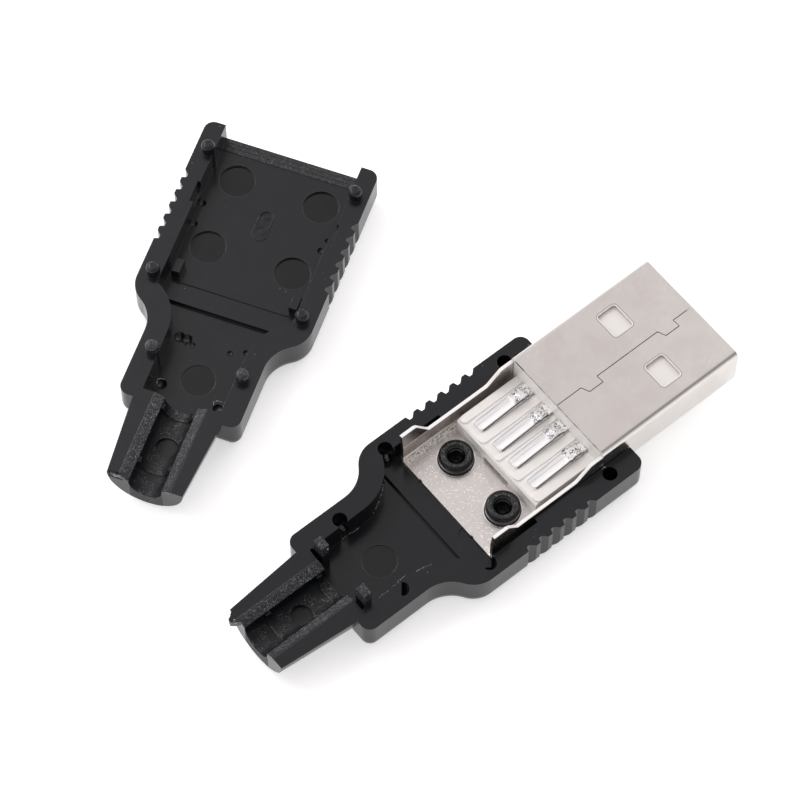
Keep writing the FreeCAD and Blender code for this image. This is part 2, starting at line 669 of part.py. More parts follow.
def seam():
    """A thin cut along the seam."""
    z_range = (SHELL_TOP - SHEET - SEAM_GAP, SHELL_TOP + SEAM_GAP)
    path = seam_path()
    cuts = [cylinder(x, y, SEAM_GAP / 2, z_range) for x, y in path[1:-1]]
    for (x0, y0), (x1, y1) in zip(path, path[1:]):
        length = math.hypot(x1 - x0, y1 - y0)
        cut = box((0, length), (-SEAM_GAP / 2, SEAM_GAP / 2), z_range)
        cut.rotate(point(0, 0, 0), point(0, 0, 1), math.degrees(math.atan2(y1 - y0, x1 - x0)))
        cut.translate(point(x0, y0))
        cuts.append(cut)
    return cuts


def windows():
    """The four latching windows, two in the top and two in the bottom of the plug."""
    front = MOUTH - WINDOW_FROM_MOUTH
    opening = box((front - WINDOW_LENGTH, front),
                  (WINDOW_OFFSET - WINDOW_WIDTH / 2, WINDOW_OFFSET + WINDOW_WIDTH / 2),
                  (SHELL_TOP - 2 * SHEET, SHELL_TOP + SLACK))
    upright = [edge for edge in opening.Edges
               if abs(edge.Vertexes[0].Z - edge.Vertexes[1].Z) > SHEET]
    top = opening.makeFillet(WINDOW_CORNER, upright)
    bottom = top.mirror(point(0, 0, HALF_HEIGHT), point(0, 0, 1))
    return both_sides(top) + both_sides(bottom)


def tail_nicks():
    """Two small nicks in the rear edge of the tail, where it was parted from its strip."""
    nick = box((TAIL_REAR - NICK_DEPTH, TAIL_REAR + NICK_DEPTH),
               (NICK_OFFSET - NICK_WIDTH / 2, NICK_OFFSET + NICK_WIDTH / 2),
               (SHELL_BOTTOM - SHEET, SHELL_FLOOR + SHEET))
    return both_sides(nick)


def plug_shell():
    """The folded metal shell: a closed tube in front and an open trough behind it."""
    length = MOUTH - TAIL_REAR
    outer = tube(length, SHELL_HALF, (SHELL_BOTTOM, SHELL_TOP), FOLD_RADIUS, TAIL_REAR)
    inner = tube(length + 2 * SLACK, SHELL_HALF - SHEET, (SHELL_FLOOR, SHELL_TOP - SHEET),
                 FOLD_RADIUS - SHEET, TAIL_REAR - SLACK)
    shell = outer.cut([inner, tail_opening()]).fuse(wings())
    holes = [cylinder(PEG_X, side * PEG_OFFSET, PEG_RADIUS + PEG_CLEARANCE, (0, SHELL_FLOOR + SHEET))
             for side in (1, -1)]
    return shell.cut(seam() + windows() + holes + tail_nicks())


def contact_rows():
    """Each contact's name, its place across the plug and how far its blade stays from the mouth."""
    return [("contact_vbus", OUTER_CONTACT, OUTER_BLADE_SETBACK),
            ("contact_data_minus", INNER_CONTACT, INNER_BLADE_SETBACK),
            ("contact_data_plus", -INNER_CONTACT, INNER_BLADE_SETBACK),
            ("contact_ground", -OUTER_CONTACT, OUTER_BLADE_SETBACK)]


def contact_profile(setback):
    """One contact from the side: solder tail, bend into the insulator and blade."""
    rear = INSULATOR_REAR + SOLDER_TAIL_FROM_REAR
    crest = rear + SOLDER_TAIL_LENGTH - BEND_LENGTH
    block_face = rear + SOLDER_TAIL_LENGTH
    blade_low = SHELL_TOP - SHEET - INSULATOR_CLEARANCE - TONGUE_THICKNESS - BLADE_PROUD
    tail_low = SOLDER_TAIL_SEAT
    crest_low = tail_low + SOLDER_TAIL_RISE
    tip = MOUTH - setback
    low = [(rear, tail_low), (crest, crest_low), (block_face, blade_low), (tip, blade_low)]
    high = [(x, z + CONTACT_THICKNESS) for x, z in low]
    return low + high[::-1]


def contact_body(y, setback, room):
    """A contact, or with room its cutter: the tail is a little wider than the blade."""
    solid = side_prism(contact_profile(setback), SOLDER_TAIL_WIDTH / 2 + room)
    tail_end = INSULATOR_REAR + SOLDER_TAIL_FROM_REAR + SOLDER_TAIL_LENGTH
    blade_half = BLADE_WIDTH / 2 + room
    for side in (1, -1):
        flank = box((tail_end, MOUTH), sorted((side * blade_half, side * SLACK * 2)),
                    (SHELL_BOTTOM, SHELL_TOP))
        solid = solid.cut(flank)
    solid.translate(point(0, y, 0))
    return solid


def insulator():
    """The moulded body that carries the contacts: a tongue, a full block and a low rear part."""
    top = SHELL_TOP - SHEET - INSULATOR_CLEARANCE
    bottom = SHELL_FLOOR
    inner_half = SHELL_HALF - SHEET - INSULATOR_CLEARANCE
    block_front = MOUTH - TONGUE_SETBACK - TONGUE_LENGTH
    corner = FOLD_RADIUS - SHEET + INSULATOR_CLEARANCE
    block = tube(block_front - TUBE_REAR, inner_half, (bottom, top), corner, TUBE_REAR)
    tongue = box((block_front - SLACK, MOUTH - TONGUE_SETBACK), (-TONGUE_HALF, TONGUE_HALF),
                 (top - TONGUE_THICKNESS, top))
    rear = box((INSULATOR_REAR, TUBE_REAR + SLACK), (-BLOCK_REAR_HALF, BLOCK_REAR_HALF),
               (bottom, SOLDER_TAIL_SEAT))
    rear_edge = [edge for edge in rear.Edges
                 if edge.BoundBox.XMax < INSULATOR_REAR + CHAMFER and edge.BoundBox.ZMin > bottom + CHAMFER]
    rear = rear.makeChamfer(CHAMFER, rear_edge)
    undercut = box((INSULATOR_REAR - SLACK, INSULATOR_REAR + UNDERCUT_LENGTH),
                   (-UNDERCUT_WIDTH / 2, UNDERCUT_WIDTH / 2), (bottom - SLACK, bottom + UNDERCUT_HEIGHT))
    body = block.fuse([tongue, rear] + solder_ridges())
    return body.cut(contact_slots() + [undercut])


def solder_ridges():
    """The low ridges beside the solder tails, each with a round end short of the rear lip."""
    half = SOLDER_TAIL_WIDTH / 2 + RIDGE_SIDE_CLEARANCE
    edges = [-BLOCK_REAR_HALF]
    for name, y, setback in reversed(contact_rows()):
        edges += [y - half, y + half]
    edges.append(BLOCK_REAR_HALF)
    z_range = (SOLDER_TAIL_SEAT - RIDGE_HEIGHT, SOLDER_TAIL_SEAT + RIDGE_HEIGHT)
    ridges = []
    for low, high in zip(edges[::2], edges[1::2]):
        if ridges:
            # the setback is limited by the wall that is left between two tails
            low += min(RIDGE_EDGE_SETBACK, (high - low) / 2)
        radius = (high - low) / 2
        start = INSULATOR_REAR + LIP_LENGTH + radius
        ridges.append(box((start, TUBE_REAR + SLACK), (low, high), z_range))
        ridges.append(cylinder(start, low + radius, radius, z_range))
    return ridges


def contact_slots():
    """The room that each contact takes in the insulator."""
    return [contact_body(y, setback, INSULATOR_CLEARANCE) for name, y, setback in contact_rows()]


def export(shape, name):
    """Writes one piece as its own file."""
    shape = shape.removeSplitter()
    if len(shape.Solids) != 1 or not shape.isValid():
        raise ValueError(f"{name}: {len(shape.Solids)} solids, valid {shape.isValid()}")
    shape.Solids[0].exportStep(f"parts/{name}.step")
    print(f"{name}: {shape.Volume:.3f} mm3")


os.makedirs("parts", exist_ok=True)
export(base_case(), "base_case")
export(cover_case(), "cover_case")
export(plug_shell(), "plug_shell")
export(insulator(), "insulator")
for name, y, setback in contact_rows():
    export(contact_body(y, setback, 0), name)
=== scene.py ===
"""Looks for an open solder-type plug kit: the base half with its metal plug, and the cover half.

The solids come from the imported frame, in metres: X runs from the cable end to the mouth, Z is up
and the base lies on Z = 0. This file gives them their finishes, builds the solder tails and the
small marks in full detail, and lights them on a white table.
"""

import logging
import math
import random
from dataclasses import dataclass
from enum import Enum
from typing import Any, Optional, Sequence, Union

import bpy
from mathutils import Matrix, Vector


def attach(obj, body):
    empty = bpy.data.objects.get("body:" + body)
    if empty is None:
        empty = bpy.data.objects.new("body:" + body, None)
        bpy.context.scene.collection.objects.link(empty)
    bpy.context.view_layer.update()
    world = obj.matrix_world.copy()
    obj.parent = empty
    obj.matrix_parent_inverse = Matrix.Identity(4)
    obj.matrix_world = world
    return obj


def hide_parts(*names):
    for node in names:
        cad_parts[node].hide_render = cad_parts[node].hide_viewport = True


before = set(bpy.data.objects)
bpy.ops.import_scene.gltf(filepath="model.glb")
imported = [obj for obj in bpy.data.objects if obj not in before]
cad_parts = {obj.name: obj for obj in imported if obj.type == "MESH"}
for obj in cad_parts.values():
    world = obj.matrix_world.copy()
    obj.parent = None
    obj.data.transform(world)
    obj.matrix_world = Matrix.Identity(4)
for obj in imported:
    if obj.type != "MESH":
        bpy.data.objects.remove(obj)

LOG = logging.getLogger("plug_kit")
MM = 0.001

Point = tuple[float, float, float]
Colour = tuple[float, float, float, float]
Span = tuple[float, float]
Circle = tuple[float, float, float]
Key = Union[int, str]
Values = dict[Key, Any]

# Sizes of the metal plug that several classes share, in millimetres
TUBE_REAR = 5.95
TAIL_REAR = -6.1
TAIL_FLOOR = 2.06
PEG_PLACE = (-2.49, 3.08)


class Slot(Enum):
    """The record's material slots."""

    CASE = "case_plastic"
    SHELL = "shell_metal"
    INSULATOR = "insulator_plastic"
    CONTACT = "contact_metal"


class Wire:
    """One output socket of a node tree, with arithmetic that adds Math nodes."""

    def __init__(self, tree: "Tree", socket: bpy.types.NodeSocket) -> None:
        """Keeps the tree and the socket."""
        self.tree = tree
        self.socket = socket

    def _math(self, operation: str, left: Any, right: Any = None) -> "Wire":
        """Adds a Math node with one or two values and returns its result."""
        values: Values = {0: left} if right is None else {0: left, 1: right}
        return self.tree.node("ShaderNodeMath", {"operation": operation}, values)

    def __add__(self, other: "Number") -> "Wire":
        """The sum."""
        return self._math("ADD", self, other)

    def __sub__(self, other: "Number") -> "Wire":
        """The difference."""
        return self._math("SUBTRACT", self, other)

    def __rsub__(self, other: "Number") -> "Wire":
        """The difference, with the number first."""
        return self._math("SUBTRACT", other, self)

    def __mul__(self, other: "Number") -> "Wire":
        """The product."""
        return self._math("MULTIPLY", self, other)

    # A sum or product is the same with the number first
    __radd__ = __add__
    __rmul__ = __mul__

    def __abs__(self) -> "Wire":
        """The size without its sign."""
        return self._math("ABSOLUTE", self)

    def power(self, exponent: float) -> "Wire":
        """The value raised to a power."""
        return self._math("POWER", self, exponent)

    def larger(self, other: "Number") -> "Wire":
        """The larger of the two."""
        return self._math("MAXIMUM", self, other)

    def smaller(self, other: "Number") -> "Wire":
        """The smaller of the two."""
        return self._math("MINIMUM", self, other)

    def rise(self, low: float, high: float) -> "Wire":
        """Goes from 0 to 1 while the value goes from low to high, in either order."""
        return self.tree.node("ShaderNodeMapRange", {"clamp": True},
                              {"Value": self, "From Min": low, "From Max": high})

    def between(self, low: float, high: float, soft: float) -> "Wire":
        """Is 1 from low to high and 0 outside, and changes over the width soft at each end."""
        return self.rise(low - soft, low) * self.rise(high + soft, high)


Number = Union[float, Wire]


class Tree:
    """Builds one node tree, for a material, the world or Geometry Nodes."""

    BEVEL_SAMPLES = 6

    def __init__(self, nodes: bpy.types.NodeTree) -> None:
        """Empties the node tree and keeps it."""
        self.nodes = nodes
        self.nodes.nodes.clear()

    @staticmethod
    def _find(sockets: Any, key: Key) -> bpy.types.NodeSocket:
        """Finds a socket.

        Args:
            sockets: A node's inputs or outputs.
            key: The socket's index, identifier or name.

        Returns:
            The socket.
        """
        if isinstance(key, int):
            return sockets[key]
        for socket in sockets:
            if socket.identifier == key:
                return socket
        return next(socket for socket in sockets if socket.name == key and socket.enabled)

    def node(self, kind: str, settings: Optional[dict[str, Any]] = None,
             values: Optional[Values] = None, output: Key = 0) -> Wire:
        """Adds one node.

        Args:
            kind: The node's type.
            settings: Its settings, set first.
            values: A value or a wire for each input, by index, identifier or name.
            output: The output to return.

        Returns:
            That output.
        """
        made = self.nodes.nodes.new(kind)
        for name, setting in (settings or {}).items():
            setattr(made, name, setting)
        for key, value in (values or {}).items():
            socket = self._find(made.inputs, key)
            if isinstance(value, Wire):
                self.nodes.links.new(value.socket, socket)
            else:
                socket.default_value = value
        if not made.outputs:
            return Wire(self, made.inputs[0])
        return Wire(self, self._find(made.outputs, output))

    def other(self, wire: Wire, output: Key) -> Wire:
        """Another output of the node that a wire comes from."""
        return Wire(self, self._find(wire.socket.node.outputs, output))

    def split(self, vector: Wire) -> tuple[Wire, Wire, Wire]:
        """The three parts of a vector."""
        first = self.node("ShaderNodeSeparateXYZ", values={0: vector})
        return first, self.other(first, 1), self.other(first, 2)

    def blend(self, factor: Number, under: Any, over: Any) -> Wire:
        """Lays one colour over another, as much of it as the factor says."""
        return self.node("ShaderNodeMix", {"data_type": "RGBA", "blend_type": "MIX"},
                         {"Factor_Float": factor, "A_Color": under, "B_Color": over},
                         "Result_Color")

    def noise(self, place: Wire, scale: float, detail: float = 2.0, rough: float = 0.5) -> Wire:
        """Soft noise from 0 to 1, with its scale in features per millimetre."""
        return self.node("ShaderNodeTexNoise", {"noise_dimensions": "3D"},
                         {"Vector": place, "Scale": scale, "Detail": detail, "Roughness": rough})

    def cells(self, place: Wire, scale: float, output: str = "Distance") -> Wire:
        """Random cells, with their scale in cells per millimetre."""
        return self.node("ShaderNodeTexVoronoi", {"feature": "F1"},
                         {"Vector": place, "Scale": scale}, output)

    def off_axis(self, place: Wire, x: float, y: float) -> Wire:
        """The distance from an upright axis through x and y."""
        flat = self.node("ShaderNodeVectorMath", {"operation": "MULTIPLY"},
                         {0: place, 1: (1.0, 1.0, 0.0)})
        return self.node("ShaderNodeVectorMath", {"operation": "DISTANCE"},
                         {0: flat, 1: (x, y, 0.0)}, "Value")

    def stretch(self, place: Wire, scale: Point, turn: float = 0.0) -> Wire:
        """Scales a place along each axis, after a turn about Z in degrees."""
        turned = self.node("ShaderNodeMapping", {"vector_type": "POINT"},
                           {"Vector": place, "Rotation": (0.0, 0.0, math.radians(turn))})
        return self.node("ShaderNodeMapping", {"vector_type": "POINT"},
                         {"Vector": turned, "Scale": scale})

    def bump(self, height: Wire, depth_mm: float, normal: Optional[Wire] = None) -> Wire:
        """Turns a height from 0 to 1 into a normal.

        Args:
            height: The height.
            depth_mm: What a height of 1 is, in millimetres.
            normal: The normal that it is laid on, if it isn't the mesh's own.

        Returns:
            The normal.
        """
        values: Values = {"Height": height, "Distance": depth_mm * MM, "Strength": 1.0}
        if normal is not None:
            values["Normal"] = normal
        return self.node("ShaderNodeBump", values=values)

    def soft_edges(self, radius_mm: float) -> Wire:
        """The mesh's normal, rounded over its edges."""
        return self.node("ShaderNodeBevel", {"samples": self.BEVEL_SAMPLES},
                         {"Radius": radius_mm * MM})


@dataclass(frozen=True)
class Pose:
    """Where a piece lies: its turn about Z in degrees, then its place in millimetres."""

    turn: float = 0.0
    x: float = 0.0
    y: float = 0.0

    def to_frame(self, point: Point) -> Vector:
        """Takes a point of the piece to the frame.

        Args:
            point: The point, in the piece's own millimetres.

        Returns:
            The point in the frame, in metres.
        """
        angle = math.radians(self.turn)
        x = point[0] * math.cos(angle) - point[1] * math.sin(angle) + self.x
        y = point[0] * math.sin(angle) + point[1] * math.cos(angle) + self.y
        return Vector((x, y, point[2])) * MM

    def own_place(self, tree: Tree) -> Wire:
        """The shaded point in the piece's own millimetres.

        Args:
            tree: The tree that needs it.

        Returns:
            The place as a vector.
        """
        angle = math.radians(-self.turn)
        shift = (-(self.x * math.cos(angle) - self.y * math.sin(angle)),
                 -(self.x * math.sin(angle) + self.y * math.cos(angle)), 0.0)
        here = tree.node("ShaderNodeTexCoord", output="Object")
        return tree.node("ShaderNodeMapping", {"vector_type": "POINT"},
                         {"Vector": here, "Scale": (1 / MM, 1 / MM, 1 / MM),
                          "Rotation": (0.0, 0.0, angle), "Location": shift})


BASE_POSE = Pose()
COVER_POSE = Pose(turn=30.86, x=-2.218, y=30.563)


@dataclass(frozen=True)
class Finish:
    """What every finish has in common."""

    name: str

    def build(self) -> bpy.types.Material:
        """Makes the material.

        Returns:
            The material, with its node tree built.
        """
        material = bpy.data.materials.new(self.name)
        material.use_nodes = True
        self.shade(Tree(material.node_tree))
        return material

    def shade(self, tree: Tree) -> None:
        """Builds the node tree of the finish."""
        raise NotImplementedError

    @staticmethod
    def surface(tree: Tree, values: Values) -> None:
        """Ends a tree in one surface shader with these values."""
        shader = tree.node("ShaderNodeBsdfPrincipled", values=values)
        tree.node("ShaderNodeOutputMaterial", values={"Surface": shader})


@dataclass
class CaseMasks:
    """Where a case half is worn, coarse, smooth or painted with a shade line, raised, or outlined
    with a painted highlight, from 0 to 1.
    """

    strips: Wire
    channel: Wire
    coarse: Wire
    smooth: Wire
    knobs: Wire
    rolls: Wire
    outline: Wire


@dataclass(frozen=True)
class CasePlastic(Finish):
    """Black moulded plastic: satin rims, spark-eroded strips, specks of dust, with painted
    highlights on disc rims, ribs and pale grains, and a painted shade line beside one strip.
    """

    pose: Pose = BASE_POSE
    has_sill: bool = False
    discs: tuple[Circle, ...] = ()
    knobs: tuple[Circle, ...] = ()
    rings: tuple[Circle, ...] = ()
    colour: Colour = (0.0036, 0.005, 0.007, 1.0)
    disc_and_shade_colour: Colour = (0.001, 0.001, 0.0012, 1.0)
    worn_colour: Colour = (0.034, 0.034, 0.038, 1.0)
    rim_glint_colour: Colour = (0.024, 0.024, 0.026, 1.0)
    dust_and_glint_colour: Colour = (0.6, 0.6, 0.6, 1.0)
    relief_front: float = -18.0
    strip_sides: Span = (1.5, 2.4)
    strip_heights: Span = (3.55, 3.98)
    channel_side: Span = (1.54, 1.48)
    channel_top: Span = (2.9, 2.4)
    shade_line_side: Span = (1.9, 2.0)
    shade_line_heights: Span = (3.9, 3.965)
    rib_edges: Span = (-24.25, -18.9)
    rib_side: Span = (0.95, 0.7)
    rib_line: float = 0.03
    pip_x: float = -21.6
    pip_radius: float = 0.97
    front: float = 8.95
    sill_length: float = 1.27
    sill_side: Span = (6.1, 5.95)
    sill_top: Span = (2.3, 2.1)
    knob_foot: Span = (2.4, 2.5)
    ring_top: Span = (2.2, 2.1)
    disc_top: Span = (2.2, 2.0)
    post_tops: Span = (4.2, 4.4)
    post_front: Span = (-9.0, -11.0)

    def shade(self, tree: Tree) -> None:
        """Builds the node tree.

        Args:
            tree: The material's empty tree.
        """
        place = self.pose.own_place(tree)
        x, y, z = tree.split(place)
        masks = self.relief_masks(x, y, z)
        self.add_round_marks(masks, tree, place)
        tops = z.rise(*self.post_tops) * x.rise(*self.post_front)
        masks.strips = masks.strips.larger(tops * 0.8)
        grit = tree.noise(place, 7.5, 2.5, 0.6)
        pimples = tree.cells(place, 6.0)
        fine = tree.noise(place, 26.0, 3.0, 0.55)
        mottle = tree.noise(place, 0.55, 3.0, 0.5)
        streaks = tree.noise(tree.stretch(place, (0.25, 3.0, 1.0), 24.0), 1.0, 2.0, 0.6)
        dust = tree.cells(place, 1.15).rise(0.042, 0.03)
        dust = dust * tree.noise(place, 0.8, 1.0, 0.5).rise(0.5, 0.62)
        # outline: a paler ring round each disc's rim, a painted highlight
        outline = masks.outline * mottle.rise(0.32, 0.5) * grit.rise(0.3, 0.5)
        # The smooth mask holds the smooth discs and also the painted shade line; both take the
        # near-black colour
        colour = tree.blend(masks.smooth, self.colour, self.disc_and_shade_colour)
        colour = tree.blend(masks.strips * grit.rise(0.3, 0.7), colour, self.worn_colour)
        # Pale grains, partly painted sparkle, and the ribs' painted highlight lines; the dust below
        # is real
        colour = tree.blend(self.grains_and_glints(masks, tree, place, grit) * 0.5, colour, self.dust_and_glint_colour)
        colour = tree.blend(outline, colour, self.rim_glint_colour)
        colour = tree.blend(dust * 0.6, colour, self.dust_and_glint_colour)
        rough = 0.14 + mottle * 0.1 + streaks * 0.05 + masks.strips * 0.1 + masks.channel * 0.3
        height = fine * 0.1 + streaks * 0.06 + masks.coarse * (grit * 2.6 + pimples * 2.2)
        normal = tree.bump(height + masks.rolls * 3.0, 0.012, tree.soft_edges(0.07))
        self.surface(tree, {"Base Color": colour, "Roughness": rough, "Normal": normal,
                            "IOR": 1.45})

    def relief_masks(self, x: Wire, y: Wire, z: Wire) -> CaseMasks:
        """Masks the strain relief's worn strips and channel, a painted shade line on the +y side,
        and the sill.

        Args:
            x: The place along the case.
            y: The place across it.
            z: The height.

        Returns:
            The masks, to which the round marks are added.
        """
        side = abs(y)
        relief = x.rise(self.relief_front + 0.1, self.relief_front - 0.1)
        strips = relief * side.between(*self.strip_sides, 0.04)
        strips = strips * z.between(*self.strip_heights, 0.03)
        channel = relief * side.rise(*self.channel_side) * z.rise(*self.channel_top)
        # A near-black line just below the rim on the +y side only: painted shade of the rim's
        # overhang
        shade_line = relief * y.rise(*self.shade_line_side) * z.between(*self.shade_line_heights, 0.02)
        coarse = strips.larger(channel * 0.7)
        if self.has_sill:
            rear = self.front - self.sill_length
            sill = x.rise(rear - 0.05, rear) * side.rise(*self.sill_side) * z.rise(*self.sill_top)
            coarse = coarse.larger(sill * 0.3)
            strips = strips.larger(sill * 0.5)
        none = x * 0.0
        return CaseMasks(strips, channel, coarse, shade_line, knobs=none, rolls=none, outline=none)

    def add_round_marks(self, masks: CaseMasks, tree: Tree, place: Wire) -> None:
        """Adds the gritty rings on the pegs, and the floor's raised rings and smooth discs.

        Args:
            masks: The masks to add to.
            tree: The tree.
            place: The shaded point.
        """
        z = tree.split(place)[2]
        for knob_x, knob_y, radius in self.knobs:
            reach = tree.off_axis(place, knob_x, knob_y)
            knob = reach.rise(radius * 1.25, radius * 1.2) * z.rise(*self.knob_foot)
            ring = reach.between(radius * 0.66, radius * 0.84, 0.04)
            inner = reach.between(radius * 0.52, radius * 0.6, 0.06)
            outer = reach.between(radius * 0.9, radius * 0.95, 0.06)
            masks.coarse = masks.coarse.larger(knob * ring)
            masks.knobs = masks.knobs + knob * ring
            masks.smooth = masks.smooth.larger(knob * (1.0 - ring))
            masks.rolls = masks.rolls + knob * (inner + outer)
        for ring_x, ring_y, radius in self.rings:
            ring = tree.off_axis(place, ring_x, ring_y).between(radius - 0.06, radius + 0.06, 0.08)
            masks.rolls = masks.rolls + ring * z.rise(*self.ring_top) * 1.5
        for disc_x, disc_y, radius in self.discs:
            reach = tree.off_axis(place, disc_x, disc_y)
            floor = z.rise(*self.disc_top)
            # A thin ring on each disc's rim, painted lighter as a highlight
            line = reach.between(radius - 0.04, radius + 0.05, 0.03)
            masks.smooth = masks.smooth.larger(reach.rise(radius + 0.03, radius - 0.03) * floor)
            masks.outline = masks.outline.larger(line * floor)

    def grains_and_glints(self, masks: CaseMasks, tree: Tree, place: Wire, grit: Wire) -> Wire:
        """Makes the pale grains on the worn strips, in the channel and on the pegs, partly painted
        sparkle, and the painted highlight lines along the ribs' rear edges.

        Args:
            masks: Where they may lie.
            tree: The tree.
            place: The shaded point.
            grit: The noise that breaks up the ribs' painted highlight lines.

        Returns:
            The mask of the grains and painted highlights.
        """
        x, y, _ = tree.split(place)
        side = abs(y)
        pip = tree.off_axis(place, self.pip_x, 0.0).rise(self.pip_radius, self.pip_radius - 0.05)
        patches = tree.noise(place, 0.9, 1.0, 0.5).rise(0.38, 0.6)
        patches = patches * side.rise(1.3, 0.7) * (1.0 - pip)
        # Painted highlight lines where the channel's ribs catch the light
        rib_glints = x * 0.0
        for edge in self.rib_edges:
            line = x.between(edge - self.rib_line, edge + self.rib_line, self.rib_line)
            rib_glints = rib_glints + line * side.rise(*self.rib_side)
        where = (masks.strips * 0.9).larger(masks.channel * patches).larger(masks.knobs * 0.8)
        clusters = tree.noise(place, 3.1, 2.0, 0.6).rise(0.36, 0.7)
        grains_and_glints = tree.cells(place, 8.6).rise(0.44, 0.26) * clusters * where
        return grains_and_glints.larger(masks.channel * rib_glints * grit.rise(0.4, 0.55) * 0.5)


@dataclass(frozen=True)
class ShellMetal(Finish):
    """Nickel-plated sheet: satin grain and sparkling tail, with painted highlights on the cut
    edges, window rims, hole rims and fold teeth, painted sheen and shade at the folds, and painted
    shade on the inner walls.
    """

    colour: Colour = (0.7, 0.673, 0.648, 1.0)
    dull_colour: Colour = (0.48, 0.445, 0.42, 1.0)
    dent_shade_colour: Colour = (0.12, 0.1, 0.09, 1.0)
    pale_mark_and_glint_colour: Colour = (0.96, 0.95, 0.94, 1.0)
    fold_sheen_colour: Colour = (0.97, 0.93, 0.89, 1.0)
    wall_shade_colour: Colour = (0.3, 0.23, 0.18, 1.0)
    line_colour: Colour = (0.25, 0.23, 0.22, 1.0)
    tail_top: Span = (2.3, 2.15)
    wall_top: float = 4.5
    shoulder: Span = (3.1, 4.65)
    shoulder_rise: float = 1.21
    wing: Span = (-3.3, -4.55)
    wing_rise: float = 1.7
    fold_run: Span = (-5.9, 0.4)
    fold_side: Span = (5.2, 5.35)
    fold_foot: Span = (4.95, 5.5)
    wall_inside: Span = (5.8, 5.75)
    fold_top: float = 2.75
    teeth_top: Span = (2.5, 2.35)
    swell_run: Span = (-6.2, 0.5)
    wall_shade_run: Span = (-6.0, 5.0)
    wall_shade_side: Span = (5.55, 5.74)
    wall_shade_top: Span = (4.6, 3.1)
    wall_shade_foot: Span = (2.7, 2.85)
    top_face: Span = (6.2, 6.1)
    window_place: Span = (15.01, 3.1)
    window_half: Span = (0.99, 1.25)
    window_corner: float = 0.28
    hole_radius: float = 1.58
    hole_rim: float = 0.09

    def shade(self, tree: Tree) -> None:
        """Builds the node tree.

        Args:
            tree: The material's empty tree.
        """
        place = BASE_POSE.own_place(tree)
        x, y, z = tree.split(place)
        side = abs(y)
        grain = tree.noise(place, 16.0, 3.0, 0.6)
        cloud = tree.noise(place, 0.35, 3.0, 0.55)
        teeth = tree.noise(place, 6.6, 1.5, 0.6)
        specks = tree.cells(place, 1.6).rise(0.05, 0.03)
        flake_x, flake_y, _ = tree.split(tree.cells(place, 10.0, "Color"))
        scratch = tree.noise(tree.stretch(place, (0.5, 14.0, 4.0), -32.0), 1.0, 2.0, 0.5)
        scratch = scratch.rise(0.62, 0.7)
        tail = x.rise(TUBE_REAR + 0.1, TUBE_REAR - 0.1) * z.rise(*self.tail_top)
        sparks = tail * flake_x.rise(0.9, 0.97)
        peg_x, peg_y = PEG_PLACE
        # A near-white ring round each peg hole: a painted highlight on the hole's rim
        reach = tree.off_axis(place, peg_x, peg_y).smaller(tree.off_axis(place, peg_x, -peg_y))
        rims = reach.between(self.hole_radius, self.hole_radius + self.hole_rim, 0.02)
        crest = self.wall_top + x.rise(*self.shoulder) * self.shoulder_rise
        crest = crest + x.rise(*self.wing) * self.wing_rise
        # The top of each wall's cut edge is painted near-white and less metallic: a painted
        # highlight
        cut_edge_glint = (z - crest).rise(-0.07, -0.03) * x.rise(TUBE_REAR, TUBE_REAR - 0.1)
        foot = x.between(*self.fold_run, 0.3) * side.rise(*self.wall_inside)
        # The inner bend of each fold is painted warm near-white and less metallic: a painted sheen
        fold_sheen = foot * side.rise(*self.fold_side) * z.rise(self.fold_top, self.fold_top - 0.12)
        toothed = foot * side.rise(*self.fold_foot) * z.rise(*self.teeth_top)
        # A brown band low on the inner walls: painted shade and reflection
        wall_shade = x.between(*self.wall_shade_run, 0.3) * side.between(*self.wall_shade_side, 0.05)
        wall_shade = wall_shade * z.rise(*self.wall_shade_top) * z.rise(*self.wall_shade_foot) * cloud.rise(0.2, 0.5)
        colour = tree.blend(grain.rise(0.35, 0.75) * 0.22 + cloud.rise(0.4, 0.65) * 0.2,
                            self.colour, self.dull_colour)
        colour = tree.blend(scratch * flake_x.rise(0.3, 0.9) * 0.3, colour, self.pale_mark_and_glint_colour)
        outside = self.outside_window(x, side, z)
        # Round each window: a dark line, and inside it a near-white rim that is a painted highlight
        # on the window's edge
        colour = tree.blend(outside.between(0.12, 0.16, 0.04) * 0.55, colour, self.line_colour)
        colour = tree.blend(outside.rise(0.1, 0.06) * 0.8, colour, self.pale_mark_and_glint_colour)
        colour = tree.blend(tail * grain.rise(0.45, 0.7) * 0.3, colour, self.dull_colour)
        # The tail's flakes are painted near-white: painted sparkle, on top of their bumped normals
        colour = tree.blend(sparks * 0.9, colour, self.pale_mark_and_glint_colour)
        colour = tree.blend(specks * 0.35, colour, self.pale_mark_and_glint_colour)
        colour = tree.blend(rims * tail * 0.9, colour, self.pale_mark_and_glint_colour)
        colour = tree.blend(wall_shade * 0.75, colour, self.wall_shade_colour)
        colour = tree.blend(fold_sheen * 0.8, colour, self.fold_sheen_colour)
